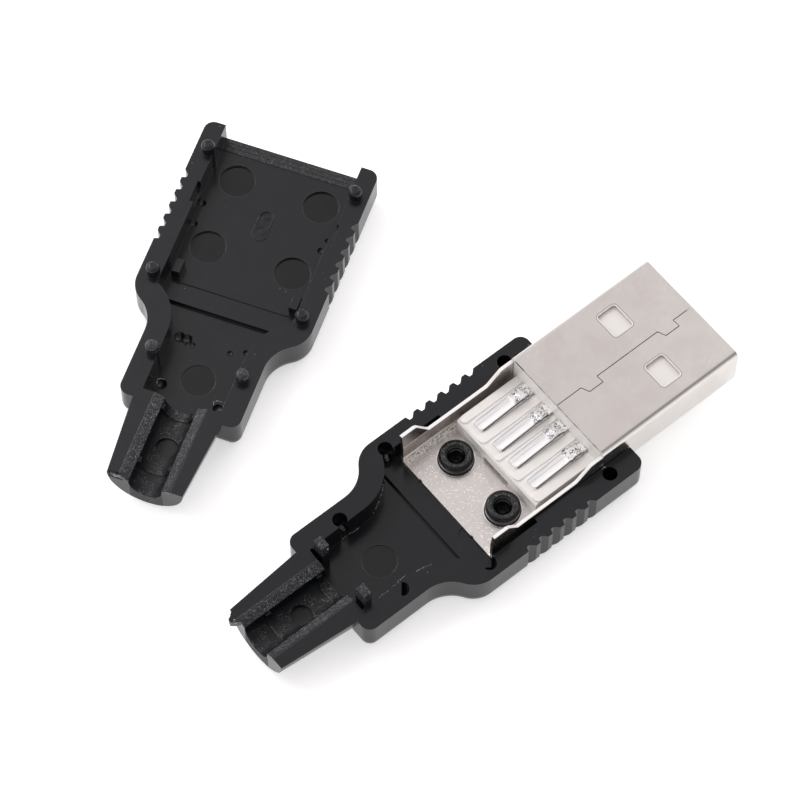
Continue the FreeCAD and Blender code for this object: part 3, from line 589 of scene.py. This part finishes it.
        # The toothed strip: painted sheen, painted highlights on the teeth and painted shade in the
        # dents
        colour = tree.blend(toothed * 0.6, colour, self.fold_sheen_colour)
        colour = tree.blend(toothed * teeth.rise(0.55, 0.62), colour, self.pale_mark_and_glint_colour)
        colour = tree.blend(toothed * teeth.rise(0.49, 0.42) * 0.7, colour, self.dent_shade_colour)
        colour = tree.blend(cut_edge_glint, colour, self.pale_mark_and_glint_colour)
        rough = 0.19 + grain * 0.08 + cloud * 0.05 + tail * 0.06 - sparks * 0.1 + cut_edge_glint * 0.3
        swell = z.rise(self.fold_top, TAIL_FLOOR) * x.between(*self.swell_run, 0.4)
        normal = tree.bump(swell, self.fold_top - TAIL_FLOOR, tree.soft_edges(0.05))
        height = grain * 0.35 + scratch * 0.15 + tail * (flake_y * 0.6 + grain * 0.6)
        normal = tree.bump(height + toothed * teeth * 6.0, 0.004, normal)
        self.surface(tree, {"Base Color": colour, "Roughness": rough,
                            "Metallic": 1.0 - cut_edge_glint.larger(fold_sheen) * 0.7,
                            "Normal": normal})

    def outside_window(self, x: Wire, side: Wire, z: Wire) -> Wire:
        """Measures how far a point of the top face lies outside the nearest window's outline.

        Args:
            x: The place along the plug.
            side: The distance from its middle plane.
            z: The height.

        Returns:
            The distance in millimetres, and 1 more on any lower face.
        """
        over = []
        for along, centre, half in zip((x, side), self.window_place, self.window_half):
            over.append((abs(along - centre) - (half - self.window_corner)).larger(0.0))
        reach = (over[0] * over[0] + over[1] * over[1]).power(0.5)
        return reach - self.window_corner + z.rise(*self.top_face)


@dataclass(frozen=True)
class InsulatorPlastic(Finish):
    """Creamy white nylon, a little translucent and unevenly glossy, painted darker inside the metal
    tube as painted shade.
    """

    colour: Colour = (0.95, 0.93, 0.9, 1.0)
    tone_and_shade_colour: Colour = (0.78, 0.75, 0.71, 1.0)

    def shade(self, tree: Tree) -> None:
        """Builds the node tree.

        Args:
            tree: The material's empty tree.
        """
        place = BASE_POSE.own_place(tree)
        x, _, _ = tree.split(place)
        cloud = tree.noise(place, 1.1, 3.0, 0.55)
        fine = tree.noise(place, 14.0, 2.0, 0.5)
        # Painted shade where the insulator lies inside the metal tube; the cloud below is its real
        # uneven tone
        tube_shade = x.rise(TUBE_REAR + 0.3, TUBE_REAR + 0.6) * 0.3
        shaded = tube_shade.larger(cloud.rise(0.35, 0.75) * 0.3)
        colour = tree.blend(shaded, self.colour, self.tone_and_shade_colour)
        rough = 0.2 + cloud * 0.1
        normal = tree.bump(fine * 0.3 + cloud * 0.8, 0.008, tree.soft_edges(0.035))
        self.surface(tree, {"Base Color": colour, "Roughness": rough, "Normal": normal,
                            "Subsurface Weight": 0.15, "Subsurface Radius": (1.0, 0.9, 0.8),
                            "Subsurface Scale": 0.0003, "IOR": 1.5})


@dataclass(frozen=True)
class TailSizes:
    """The solder tails' sizes that their mesh and finish share, in millimetres."""

    centres: tuple[float, ...] = (3.5, 1.03, -1.03, -3.5)
    rear: float = 0.15
    crumple_start: float = 3.75
    crest: float = 4.75
    seat: float = 3.89
    rise: float = 0.42
    thickness: float = 0.3
    half_width: float = 0.58


@dataclass(frozen=True)
class ContactTin(Finish):
    """Bright tin with lengthwise drawing marks, crumpled at the bends, with painted shade on a
    sloped band, on each tail's side and in the crumples' creases.
    """

    tails: TailSizes = TailSizes()
    colour: Colour = (0.97, 0.97, 0.97, 1.0)
    slope_shade_and_line_colour: Colour = (0.5, 0.5, 0.52, 1.0)
    side_shade_colour: Colour = (0.03, 0.03, 0.035, 1.0)
    crumple_delay: float = 0.05
    facet_scale: float = 4.5
    slope_shade: Span = (0.08, 0.4)
    line_places: Span = (0.05, 0.43)
    side_depth: float = 0.27

    def shade(self, tree: Tree) -> None:
        """Builds the node tree.

        Args:
            tree: The material's empty tree.
        """
        place = BASE_POSE.own_place(tree)
        x, y, z = tree.split(place)
        streaks = tree.noise(tree.stretch(place, (0.3, 11.0, 3.0)), 1.0, 2.0, 0.5)
        cloud = tree.noise(place, 2.6, 2.0, 0.5)
        bend = self.tails.crumple_start + self.crumple_delay
        crumple = x.rise(bend, bend + 0.3)
        facet_x, facet_y, _ = tree.split(tree.cells(place, self.facet_scale, "Color"))
        creases = tree.node("ShaderNodeTexVoronoi", {"feature": "DISTANCE_TO_EDGE"},
                            {"Vector": place, "Scale": self.facet_scale})
        specks = facet_x.rise(0.66, 0.72) * creases.rise(0.16, 0.08)
        specks = specks.larger(tree.noise(place, 9.0, 2.0, 0.6).rise(0.62, 0.66))
        slope_shade, edge, lines = x * 0.0, x * 0.0, x * 0.0
        for centre in self.tails.centres:
            left = centre - self.tails.half_width
            # A grey band right of each tail's middle: painted shade of its slope
            slope_shade = slope_shade + y.between(centre + self.slope_shade[0], centre + self.slope_shade[1], 0.05)
            # The side face along each tail's -y edge is painted near-black: painted shade
            edge = edge + y.between(left - 0.06, left + 0.03, 0.01)
            for across in self.line_places:
                lines = lines + y.between(centre + across - 0.01, centre + across + 0.01, 0.035)
        top = self.tails.seat + self.tails.thickness
        depth = top + x.rise(self.tails.rear, self.tails.crest) * self.tails.rise - z
        edge = edge * depth.between(0.0, self.side_depth, 0.02)
        even = 1.0 - crumple
        colour = tree.blend(even * slope_shade * (0.1 + streaks.rise(0.45, 0.6) * 0.35),
                            self.colour, self.slope_shade_and_line_colour)
        # Dark specks at the crumples' creases: painted shade
        colour = tree.blend(crumple * specks, colour, self.side_shade_colour)
        colour = tree.blend(even * lines * cloud.rise(0.3, 0.5) * 0.7, colour, self.slope_shade_and_line_colour)
        colour = tree.blend(edge, colour, self.side_shade_colour)
        rough = 0.14 + streaks * 0.1
        normal = tree.bump(streaks * 0.6 + crumple * facet_y * 2.0, 0.012, tree.soft_edges(0.04))
        self.surface(tree, {"Base Color": colour, "Roughness": rough, "Metallic": 0.2,
                            "Normal": normal})


@dataclass(frozen=True)
class TornAndGlintPlastic(Finish):
    """Black plastic gone pale where it was torn or scuffed, and pale grey where it stands for
    glints: painted highlights.
    """

    colour: Colour = (0.36, 0.36, 0.37, 1.0)
    dark_colour: Colour = (0.02, 0.02, 0.022, 1.0)

    def shade(self, tree: Tree) -> None:
        """Builds the node tree.

        Args:
            tree: The material's empty tree.
        """
        place = BASE_POSE.own_place(tree)
        patches = tree.noise(place, 7.0, 2.0, 0.6)
        colour = tree.blend(patches.rise(0.5, 0.64), self.colour, self.dark_colour)
        self.surface(tree, {"Base Color": colour, "Roughness": 0.2 + patches * 0.2,
                            "Normal": tree.bump(patches, 0.02)})


@dataclass(frozen=True)
class TablePaper(Finish):
    """The white table, which stays white to the camera and keeps its soft shadows."""

    colour: Colour = (0.9, 0.9, 0.9, 1.0)
    glow_colour: Colour = (1.0, 1.0, 1.0, 1.0)
    glow: float = 0.52

    def shade(self, tree: Tree) -> None:
        """Builds the node tree.

        Args:
            tree: The material's empty tree.
        """
        seen = tree.node("ShaderNodeLightPath", output="Is Camera Ray")
        for ray in ("Is Glossy Ray", "Is Transmission Ray"):
            seen = seen.larger(tree.node("ShaderNodeLightPath", output=ray))
        matt = tree.node("ShaderNodeBsdfDiffuse", values={"Color": self.colour})
        glow = tree.node("ShaderNodeEmission",
                         values={"Color": self.glow_colour, "Strength": seen * self.glow})
        both = tree.node("ShaderNodeAddShader", values={0: matt, 1: glow})
        tree.node("ShaderNodeOutputMaterial", values={"Surface": both})


def new_object(name: str, data: Any) -> bpy.types.Object:
    """Adds an object to the scene.

    Args:
        name: Its name.
        data: Its mesh, lamp or camera.

    Returns:
        The object.
    """
    made = bpy.data.objects.new(name, data)
    bpy.context.scene.collection.objects.link(made)
    return made


def dress(piece: bpy.types.Object, material: bpy.types.Material) -> None:
    """Gives every face of a piece one material.

    Args:
        piece: The piece.
        material: Its material.
    """
    piece.data.materials.clear()
    piece.data.materials.append(material)
    for polygon in piece.data.polygons:
        polygon.material_index = 0


def finish_piece(piece: bpy.types.Object, material: bpy.types.Material) -> None:
    """Dresses a new piece, ties it to the part and reports it.

    Args:
        piece: The piece, with its place in its mesh.
        material: Its material.
    """
    dress(piece, material)
    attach(piece, "root")
    LOG.info("%s: %d faces", piece.name, len(piece.data.polygons))


@dataclass(frozen=True)
class SolderTails(TailSizes):
    """The four contacts: a dished solder tail, a crumpled bend and a blade, in millimetres."""

    names: tuple[str, ...] = ("vbus", "data_minus", "data_plus", "ground")
    setbacks: tuple[float, ...] = (1.3, 2.3, 2.3, 1.3)
    block_face: float = 5.5
    mouth: float = 21.0
    blade_low: float = 4.02
    blade_half_width: float = 0.5
    corner_cut: float = 0.22
    lip_width: float = 0.13
    lip_height: float = 0.07
    lip_run: float = 0.3
    lip_shape: tuple[float, ...] = (0.6, 1.0, -0.4, -0.7)
    dish_share: float = 0.3
    tip_run: float = 0.6
    run_steps: int = 4
    bend_steps: int = 8
    crumple_height: float = 0.11
    crumple_up: Span = (-0.3, 1.0)
    crumple_across: Span = (0.9, 1.09)

    def section(self, x: float, dice: random.Random) -> list[Span]:
        """The outline across a tail at one place along it.

        Args:
            x: The place.
            dice: What the crumples are thrown with.

        Returns:
            The points (y, z) in order, all with the same count.
        """
        run = min(1.0, max(0.0, (x - self.rear) / (self.crest - self.rear)))
        low = self.seat + self.rise * run
        if x > self.crest:
            down = min(1.0, (x - self.crest) / (self.block_face - self.crest))
            low += (self.blade_low - self.seat - self.rise) * down
        high = low + self.thickness
        hidden = x > self.block_face
        half = self.blade_half_width if hidden else self.half_width
        end_cut = max(0.0, self.corner_cut - (x - self.rear)) * 0.9
        left, right = half - end_cut, half - end_cut * 0.3
        lip = 0.0 if hidden else self.lip_height * min(1.0, (x - self.rear) / self.lip_run + 0.25)
        steps = (0.0, self.lip_width * 0.55, self.lip_width)
        across = [right - step for step in steps] + [right * self.dish_share]
        across += [-left * self.dish_share] + [step - left for step in reversed(steps)]
        tops = [high + lip * share for share in self.lip_shape + self.lip_shape[::-1]]
        if self.crumple_start < x <= self.block_face:
            tops = [top + dice.uniform(*self.crumple_up) * self.crumple_height for top in tops]
            across = [place * dice.uniform(*self.crumple_across) for place in across]
        under = low if hidden else self.seat
        return [(-left, under), (right, under)] + list(zip(across, tops))

    def stations(self, setback: float) -> list[float]:
        """The places along a tail at which it has a section.

        Args:
            setback: How far the contact's blade stays behind the mouth.

        Returns:
            The places, from the tail's end to the blade's.
        """
        tip = [self.rear + step for step in (0.0, 0.08, self.corner_cut, self.tip_run)]
        run = self.crumple_start - tip[-1]
        steps = [tip[-1] + run * number / self.run_steps for number in range(1, self.run_steps + 1)]
        bend = self.block_face - self.crumple_start
        bends = [self.crumple_start + bend * number / self.bend_steps
                 for number in range(1, self.bend_steps + 1)]
        return tip + steps + bends + [self.block_face + 0.02, self.mouth - setback]

    def tail(self, name: str, y: float, setback: float) -> bpy.types.Object:
        """Builds one contact.

        Args:
            name: The contact's name.
            y: Its place across the plug.
            setback: How far its blade stays behind the mouth.

        Returns:
            The contact's object.
        """
        dice = random.Random(name)
        rings = [[(x, y + across, up) for across, up in self.section(x, dice)]
                 for x in self.stations(setback)]
        count = len(rings[0])
        points = [Vector(point) * MM for ring in rings for point in ring]
        faces = [tuple(reversed(range(count))),
                 tuple(range(len(points) - count, len(points)))]
        for start in range(0, len(points) - count, count):
            for side in range(count):
                after = (side + 1) % count
                faces.append((start + side, start + after,
                              start + count + after, start + count + side))
        mesh = bpy.data.meshes.new(f"solder_tail_{name}")
        mesh.from_pydata(points, [], faces)
        mesh.validate()
        return new_object(f"solder_tail_{name}", mesh)

    def build(self, material: bpy.types.Material) -> None:
        """Builds, dresses and places the four contacts.

        Args:
            material: Their finish.
        """
        for name, y, setback in zip(self.names, self.centres, self.setbacks):
            piece = self.tail(name, y, setback)
            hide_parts(f"contact_{name}")
            finish_piece(piece, material)


@dataclass
class MarkRow:
    """A row of small marks along a path, made with Geometry Nodes, in millimetres."""

    name: str
    path: Sequence[Point]
    pose: Pose = BASE_POSE
    count: int = 40
    radius: float = 0.04
    stretch: Point = (1.6, 1.0, 0.5)
    spread: float = 0.03
    seed: int = 3

    INPUTS = (("Count", "NodeSocketInt"), ("Radius", "NodeSocketFloat"),
              ("Stretch", "NodeSocketVector"), ("Spread", "NodeSocketFloat"),
              ("Seed", "NodeSocketInt"), ("Material", "NodeSocketMaterial"))
    SHIFT_LIMIT = (1.0, 1.0, 0.3)
    TURN_LIMIT = (0.3, 0.3, 0.6)
    SIZES = (0.5, 1.3)

    def tree(self) -> bpy.types.NodeTree:
        """Builds the Geometry Nodes tree with its named inputs.

        Returns:
            The tree.
        """
        nodes = bpy.data.node_groups.new(f"{self.name}_nodes", "GeometryNodeTree")
        nodes.interface.new_socket("Geometry", in_out="INPUT", socket_type="NodeSocketGeometry")
        for label, kind in self.INPUTS:
            nodes.interface.new_socket(label, in_out="INPUT", socket_type=kind)
        nodes.interface.new_socket("Geometry", in_out="OUTPUT", socket_type="NodeSocketGeometry")
        tree = Tree(nodes)
        given = tree.node("NodeGroupInput")
        reach, seed = tree.other(given, "Spread"), tree.other(given, "Seed")
        curve = tree.node("GeometryNodeMeshToCurve", values={"Mesh": given})
        even = tree.node("GeometryNodeResampleCurve", values={
            "Curve": curve, "Count": tree.other(given, "Count")})
        low, high = (tree.node("ShaderNodeVectorMath", {"operation": "SCALE"},
                               {0: tuple(sign * part for part in self.SHIFT_LIMIT), "Scale": reach})
                     for sign in (-1, 1))
        shift = tree.node("FunctionNodeRandomValue", {"data_type": "FLOAT_VECTOR"},
                          {"Min": low, "Max": high, "Seed": seed})
        moved = tree.node("GeometryNodeSetPosition", values={"Geometry": even, "Offset": shift})
        bead = tree.node("GeometryNodeMeshIcoSphere",
                         values={"Radius": tree.other(given, "Radius"), "Subdivisions": 1})
        flat = tree.node("GeometryNodeTransform",
                         values={"Geometry": bead, "Scale": tree.other(given, "Stretch")})
        sizes = tree.node("FunctionNodeRandomValue", {"data_type": "FLOAT"},
                          {"Min_001": self.SIZES[0], "Max_001": self.SIZES[1], "Seed": seed},
                          "Value_001")
        turns = tree.node("FunctionNodeRandomValue", {"data_type": "FLOAT_VECTOR"},
                          {"Min": tuple(-part for part in self.TURN_LIMIT), "Max": self.TURN_LIMIT,
                           "Seed": seed})
        placed = tree.node("GeometryNodeInstanceOnPoints", values={
            "Points": moved, "Instance": flat, "Rotation": turns, "Scale": sizes})
        real = tree.node("GeometryNodeRealizeInstances", values={"Geometry": placed})
        dressed = tree.node("GeometryNodeSetMaterial", values={
            "Geometry": real, "Material": tree.other(given, "Material")})
        tree.node("NodeGroupOutput", values={"Geometry": dressed})
        return nodes

    def build(self, material: bpy.types.Material, slot: Slot) -> None:
        """Makes the row as one plain mesh.

        Args:
            material: The marks' material.
            slot: Not used.
        """
        line = bpy.data.meshes.new(f"{self.name}_line")
        points = [self.pose.to_frame(point) for point in self.path]
        line.from_pydata(points, [(n, n + 1) for n in range(len(points) - 1)], [])
        carrier = new_object(f"{self.name}_carrier", line)
        nodes = self.tree()
        keys = {item.name: item.identifier for item in nodes.interface.items_tree
                if item.in_out == "INPUT"}
        modifier = carrier.modifiers.new("marks", "NODES")
        modifier.node_group = nodes
        inputs = {"Count": self.count, "Radius": self.radius * MM, "Stretch": self.stretch,
                  "Spread": self.spread * MM, "Seed": self.seed, "Material": material}
        for label, value in inputs.items():
            modifier[keys[label]] = value
        graph = bpy.context.evaluated_depsgraph_get()
        mesh = bpy.data.meshes.new_from_object(carrier.evaluated_get(graph))
        bpy.data.objects.remove(carrier)
        finish_piece(new_object(self.name, mesh), material)


@dataclass
class Studio:
    """The white table, its soft light and the camera: the view in millimetres and degrees."""

    focal_pixels: float = 3693.3
    picture_width: int = 800
    sensor: float = 36.0
    elevation: float = 62.268
    azimuth: float = -39.159
    roll: float = -0.047
    target: Span = (-1.906, 11.296)
    distance: float = 317.76
    horizon_tint: Colour = (1.0, 1.0, 0.995, 1.0)
    overhead_tint: Colour = (1.0, 0.94, 0.955, 1.0)

    # Name, place and size in metres, and power in watts
    LAMPS = (("key_box", (-0.15, 0.42, 0.5), (0.5, 0.4), 1.0),
             ("fill_box", (0.45, 0.1, 0.35), (0.3, 0.5), 0.35),
             ("glint_box", (0.028, 0.275, 0.29), (0.014, 0.014), 0.1))

    # Half the table's side, and how far it lies below the part, in metres
    TABLE_HALF = 1.5
    TABLE_DROP = 0.00001

    def camera(self) -> None:
        """Makes the camera from the angles fitted to the photograph."""
        az, el, roll = (math.radians(angle) for angle in (self.azimuth, self.elevation, self.roll))
        back = Vector((math.sin(az) * math.cos(el), -math.cos(az) * math.cos(el), math.sin(el)))
        level = Vector((math.cos(az), math.sin(az), 0.0))
        upright = back.cross(level)
        right = level * math.cos(roll) + upright * math.sin(roll)
        up = upright * math.cos(roll) - level * math.sin(roll)
        place = (Vector((*self.target, 0.0)) + back * self.distance) * MM
        turn = Matrix((right, up, back)).transposed().to_4x4()
        data = bpy.data.cameras.new("camera")
        data.sensor_width = self.sensor
        data.lens = self.focal_pixels * self.sensor / self.picture_width
        data.clip_start, data.clip_end = 0.01, 10.0
        camera = new_object("camera", data)
        camera.matrix_world = Matrix.Translation(place) @ turn
        bpy.context.scene.camera = camera

    def lamp(self, name: str, place: Point, size: Span, power: float) -> None:
        """Adds a soft box that faces the part.

        Args:
            name: Its name.
            place: Where it hangs, in metres.
            size: Its two sides, in metres.
            power: Its power in watts.
        """
        data = bpy.data.lights.new(name, "AREA")
        data.shape = "RECTANGLE"
        data.size, data.size_y = size
        data.energy = power
        lamp = new_object(name, data)
        lamp.location = place
        aim = Vector((*self.target, 0.0)) * MM - Vector(place)
        lamp.rotation_mode = "QUATERNION"
        lamp.rotation_quaternion = aim.to_track_quat("-Z", "Y")

    def world(self) -> None:
        """Surrounds the part with soft light, and shows white behind it."""
        world = bpy.data.worlds.new("studio")
        world.use_nodes = True
        bpy.context.scene.world = world
        tree = Tree(world.node_tree)
        _, y, z = tree.split(tree.node("ShaderNodeTexCoord", output="Generated"))
        overhead = z.rise(0.1, 0.8)
        behind = y.rise(-0.12, -0.4) * z.rise(0.3, 0.6)
        level = (1.0 - overhead * 0.2) * (1.0 - behind * 0.6)
        seen = tree.node("ShaderNodeLightPath", output="Is Camera Ray")
        strength = level * (1.0 - seen) + seen
        tint = tree.blend(overhead * (1.0 - seen), self.horizon_tint, self.overhead_tint)
        glow = tree.node("ShaderNodeBackground", values={"Color": tint, "Strength": strength})
        tree.node("ShaderNodeOutputWorld", values={"Surface": glow})

    def table(self) -> None:
        """Lays the white table under the part."""
        mesh = bpy.data.meshes.new("table")
        corners = [(x * self.TABLE_HALF, y * self.TABLE_HALF, -self.TABLE_DROP)
                   for x, y in ((-1, -1), (1, -1), (1, 1), (-1, 1))]
        mesh.from_pydata(corners, [], [(0, 1, 2, 3)])
        table = new_object("table", mesh)
        dress(table, TablePaper("table_paper").build())

    def build(self) -> None:
        """Makes the whole studio."""
        self.camera()
        self.world()
        self.table()
        for name, place, size, power in self.LAMPS:
            self.lamp(name, place, size, power)
        bpy.context.scene.view_settings.view_transform = "Standard"
        LOG.info("studio: camera, world, table and %d lamps", len(self.LAMPS))


@dataclass
class PlugKit:
    """The whole kit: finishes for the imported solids, and the marks built here, in millimetres."""

    peg_radius: float = 1.4
    base_disc: Circle = (-13.32, 0.0, 1.5)
    cover_rear_disc: Circle = (-14.42, 0.0, 1.5)
    cover_discs_x: Span = (5.15, -1.97)
    cover_discs_y: float = 3.95
    cover_discs_radius: float = 1.6
    cover_rings: tuple[Circle, ...] = ((2.6, 0.25, 0.3), (1.2, 0.05, 0.38))
    cover_colour: Colour = (0.0085, 0.0102, 0.0125, 1.0)
    fold_inside: float = 5.45
    fold_front: float = -0.5

    def dress_solids(self) -> dict[Slot, bpy.types.Material]:
        """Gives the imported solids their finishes.

        Returns:
            The finish of each slot.
        """
        peg_x, peg_y = PEG_PLACE
        knobs = tuple((peg_x, side * peg_y, self.peg_radius) for side in (1, -1))
        base = CasePlastic("case_plastic", discs=(self.base_disc,), knobs=knobs)
        made = {Slot.CASE: base.build(),
                Slot.SHELL: ShellMetal("shell_metal").build(),
                Slot.INSULATOR: InsulatorPlastic("insulator_plastic").build(),
                Slot.CONTACT: ContactTin("contact_metal").build()}
        discs = tuple((x, side * self.cover_discs_y, self.cover_discs_radius)
                      for x in self.cover_discs_x for side in (1, -1))
        cover = CasePlastic("case_plastic_cover", pose=COVER_POSE, colour=self.cover_colour,
                            has_sill=True, discs=discs + (self.cover_rear_disc,),
                            rings=self.cover_rings).build()
        wanted = {"base_case": made[Slot.CASE], "cover_case": cover,
                  "plug_shell": made[Slot.SHELL], "insulator": made[Slot.INSULATOR]}
        for name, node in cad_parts.items():
            dress(node, wanted.get(name, made[Slot.CONTACT]))
            LOG.info("%s: %d faces from the frame", name, len(node.data.polygons))
        return made

    def crease_rows(self, material: bpy.types.Material) -> None:
        """Builds the bright dents along the two inner folds of the plug's tail.

        Args:
            material: Their finish.
        """
        for label, side in (("left", 1), ("right", -1)):
            y = side * self.fold_inside
            path = [(TAIL_REAR + 0.3, y, TAIL_FLOOR), (self.fold_front, y, TAIL_FLOOR)]
            MarkRow(f"fold_dents_{label}", path, count=46, radius=0.05, spread=0.06,
                    stretch=(1.5, 0.8, 0.35), seed=5 + side).build(material, Slot.SHELL)

    def torn_and_glint_marks(self) -> None:
        """Builds the pale specks, scuffs, burrs and shreds of the two black halves; the burrs, pit
        rims, post mark, ledge line and gate shreds are painted highlights.
        """
        torn_and_glint = TornAndGlintPlastic("torn_and_glint_plastic").build()
        speck, burr, scuff = (1.0, 1.0, 0.7), (1.0, 1.0, 1.3), (2.0, 0.8, 0.6)
        foot_end = (-8.25, 5.6, 1.37)
        foot = [(-9.12, 4.66, 3.03), (-9.48, 4.39, 2.72), (-9.81, 4.19, 2.47),
                (-10.26, 3.97, 2.17), (-10.62, 3.83, 1.94), (-10.98, 3.73, 1.68)]
        # The ledge line: a painted highlight along the step
        ledge = [(-12.69, 3.52, 1.36), (-13.21, 3.5, 1.36), (-13.85, 3.54, 1.5),
                 (-14.38, 3.58, 1.36)]
        floor = [(-15.4, -2.53, 1.36), (-14.3, -2.56, 1.36), (-12.5, -2.36, 1.36)]
        rim = [(-12.3, -3.6, 4.0), (-11.6, -3.72, 4.0), (-10.9, -3.9, 4.0)]
        # The socket burrs are real lumps whose pale colour is a painted highlight
        sockets = {"rear_socket_burr_glint": [(-13.9, 4.5, 1.6), (-13.8, 4.15, 1.4)],
                   "front_socket_burr_glint": [(-6.75, 7.3, 1.6), (-6.85, 6.95, 1.4)]}
        # Pale crescents on the pit rims: painted highlights
        pits = {"rear_pit_rim_glint": [(-17.5, 25.2, 1.36), (-17.3, 25.45, 1.36), (-17.0, 25.4, 1.36),
                                 (-16.78, 25.1, 1.36)],
                "front_pit_rim_glint": [(-15.0, 20.5, 1.36), (-14.8, 20.68, 1.36), (-14.5, 20.55, 1.36),
                                  (-14.3, 20.2, 1.36)]}
        rows = [MarkRow("wall_foot_dots", foot, count=13, radius=0.06, spread=0.015, stretch=speck),
                MarkRow("wall_foot_end", [foot_end] * 2, count=3, radius=0.05, spread=0.1,
                        stretch=speck),
                MarkRow("ledge_glint", ledge, count=24, radius=0.03, stretch=(2.4, 0.8, 0.6)),
                MarkRow("floor_scuff", floor, count=26, radius=0.03, spread=0.06, stretch=scuff),
                MarkRow("rim_scuff", rim, count=18, radius=0.025, stretch=scuff)]
        rows += [MarkRow(name, path, count=6, radius=0.16, spread=0.07, stretch=burr)
                 for name, path in sockets.items()]
        # A pale mark on the post's corner: a painted highlight
        rows += [MarkRow("post_glint", [(-17.05, 2.24, 5.1), (-16.92, 2.34, 4.6)], count=6,
                         radius=0.07, spread=0.04, stretch=burr),
                 MarkRow("socket_specks", [(5.8, -6.1, 4.0), (6.1, -6.15, 4.0)], count=5,
                         radius=0.05, spread=0.1, stretch=speck)]
        rows += [MarkRow(name, path, count=18, radius=0.05, spread=0.02, stretch=speck)
                 for name, path in pits.items()]
        # The gate's shreds are real torn plastic; their paleness is partly a painted highlight
        rows += [MarkRow("gate_scar_shreds", [(-26.24, 2.15, 3.62), (-26.24, 3.1, 3.62)],
                         COVER_POSE, count=14, radius=0.1, spread=0.07, stretch=(0.8, 1.6, 1.0)),
                 MarkRow("gate_stub_shreds", [(-26.75, 2.3, 3.9), (-26.6, 3.05, 3.8)], count=12,
                         radius=0.11, spread=0.1, stretch=(1.0, 1.3, 1.0))]
        for row in rows:
            row.build(torn_and_glint, Slot.CASE)

    def build(self) -> None:
        made = self.dress_solids()
        self.torn_and_glint_marks()
        SolderTails().build(made[Slot.CONTACT])
        self.crease_rows(made[Slot.SHELL])


def main() -> None:
    """Builds the part and its studio."""
    logging.basicConfig(level=logging.INFO, format="%(name)s: %(message)s")
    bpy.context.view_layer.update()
    Studio().build()
    PlugKit().build()


if __name__ == "__main__":
    main()
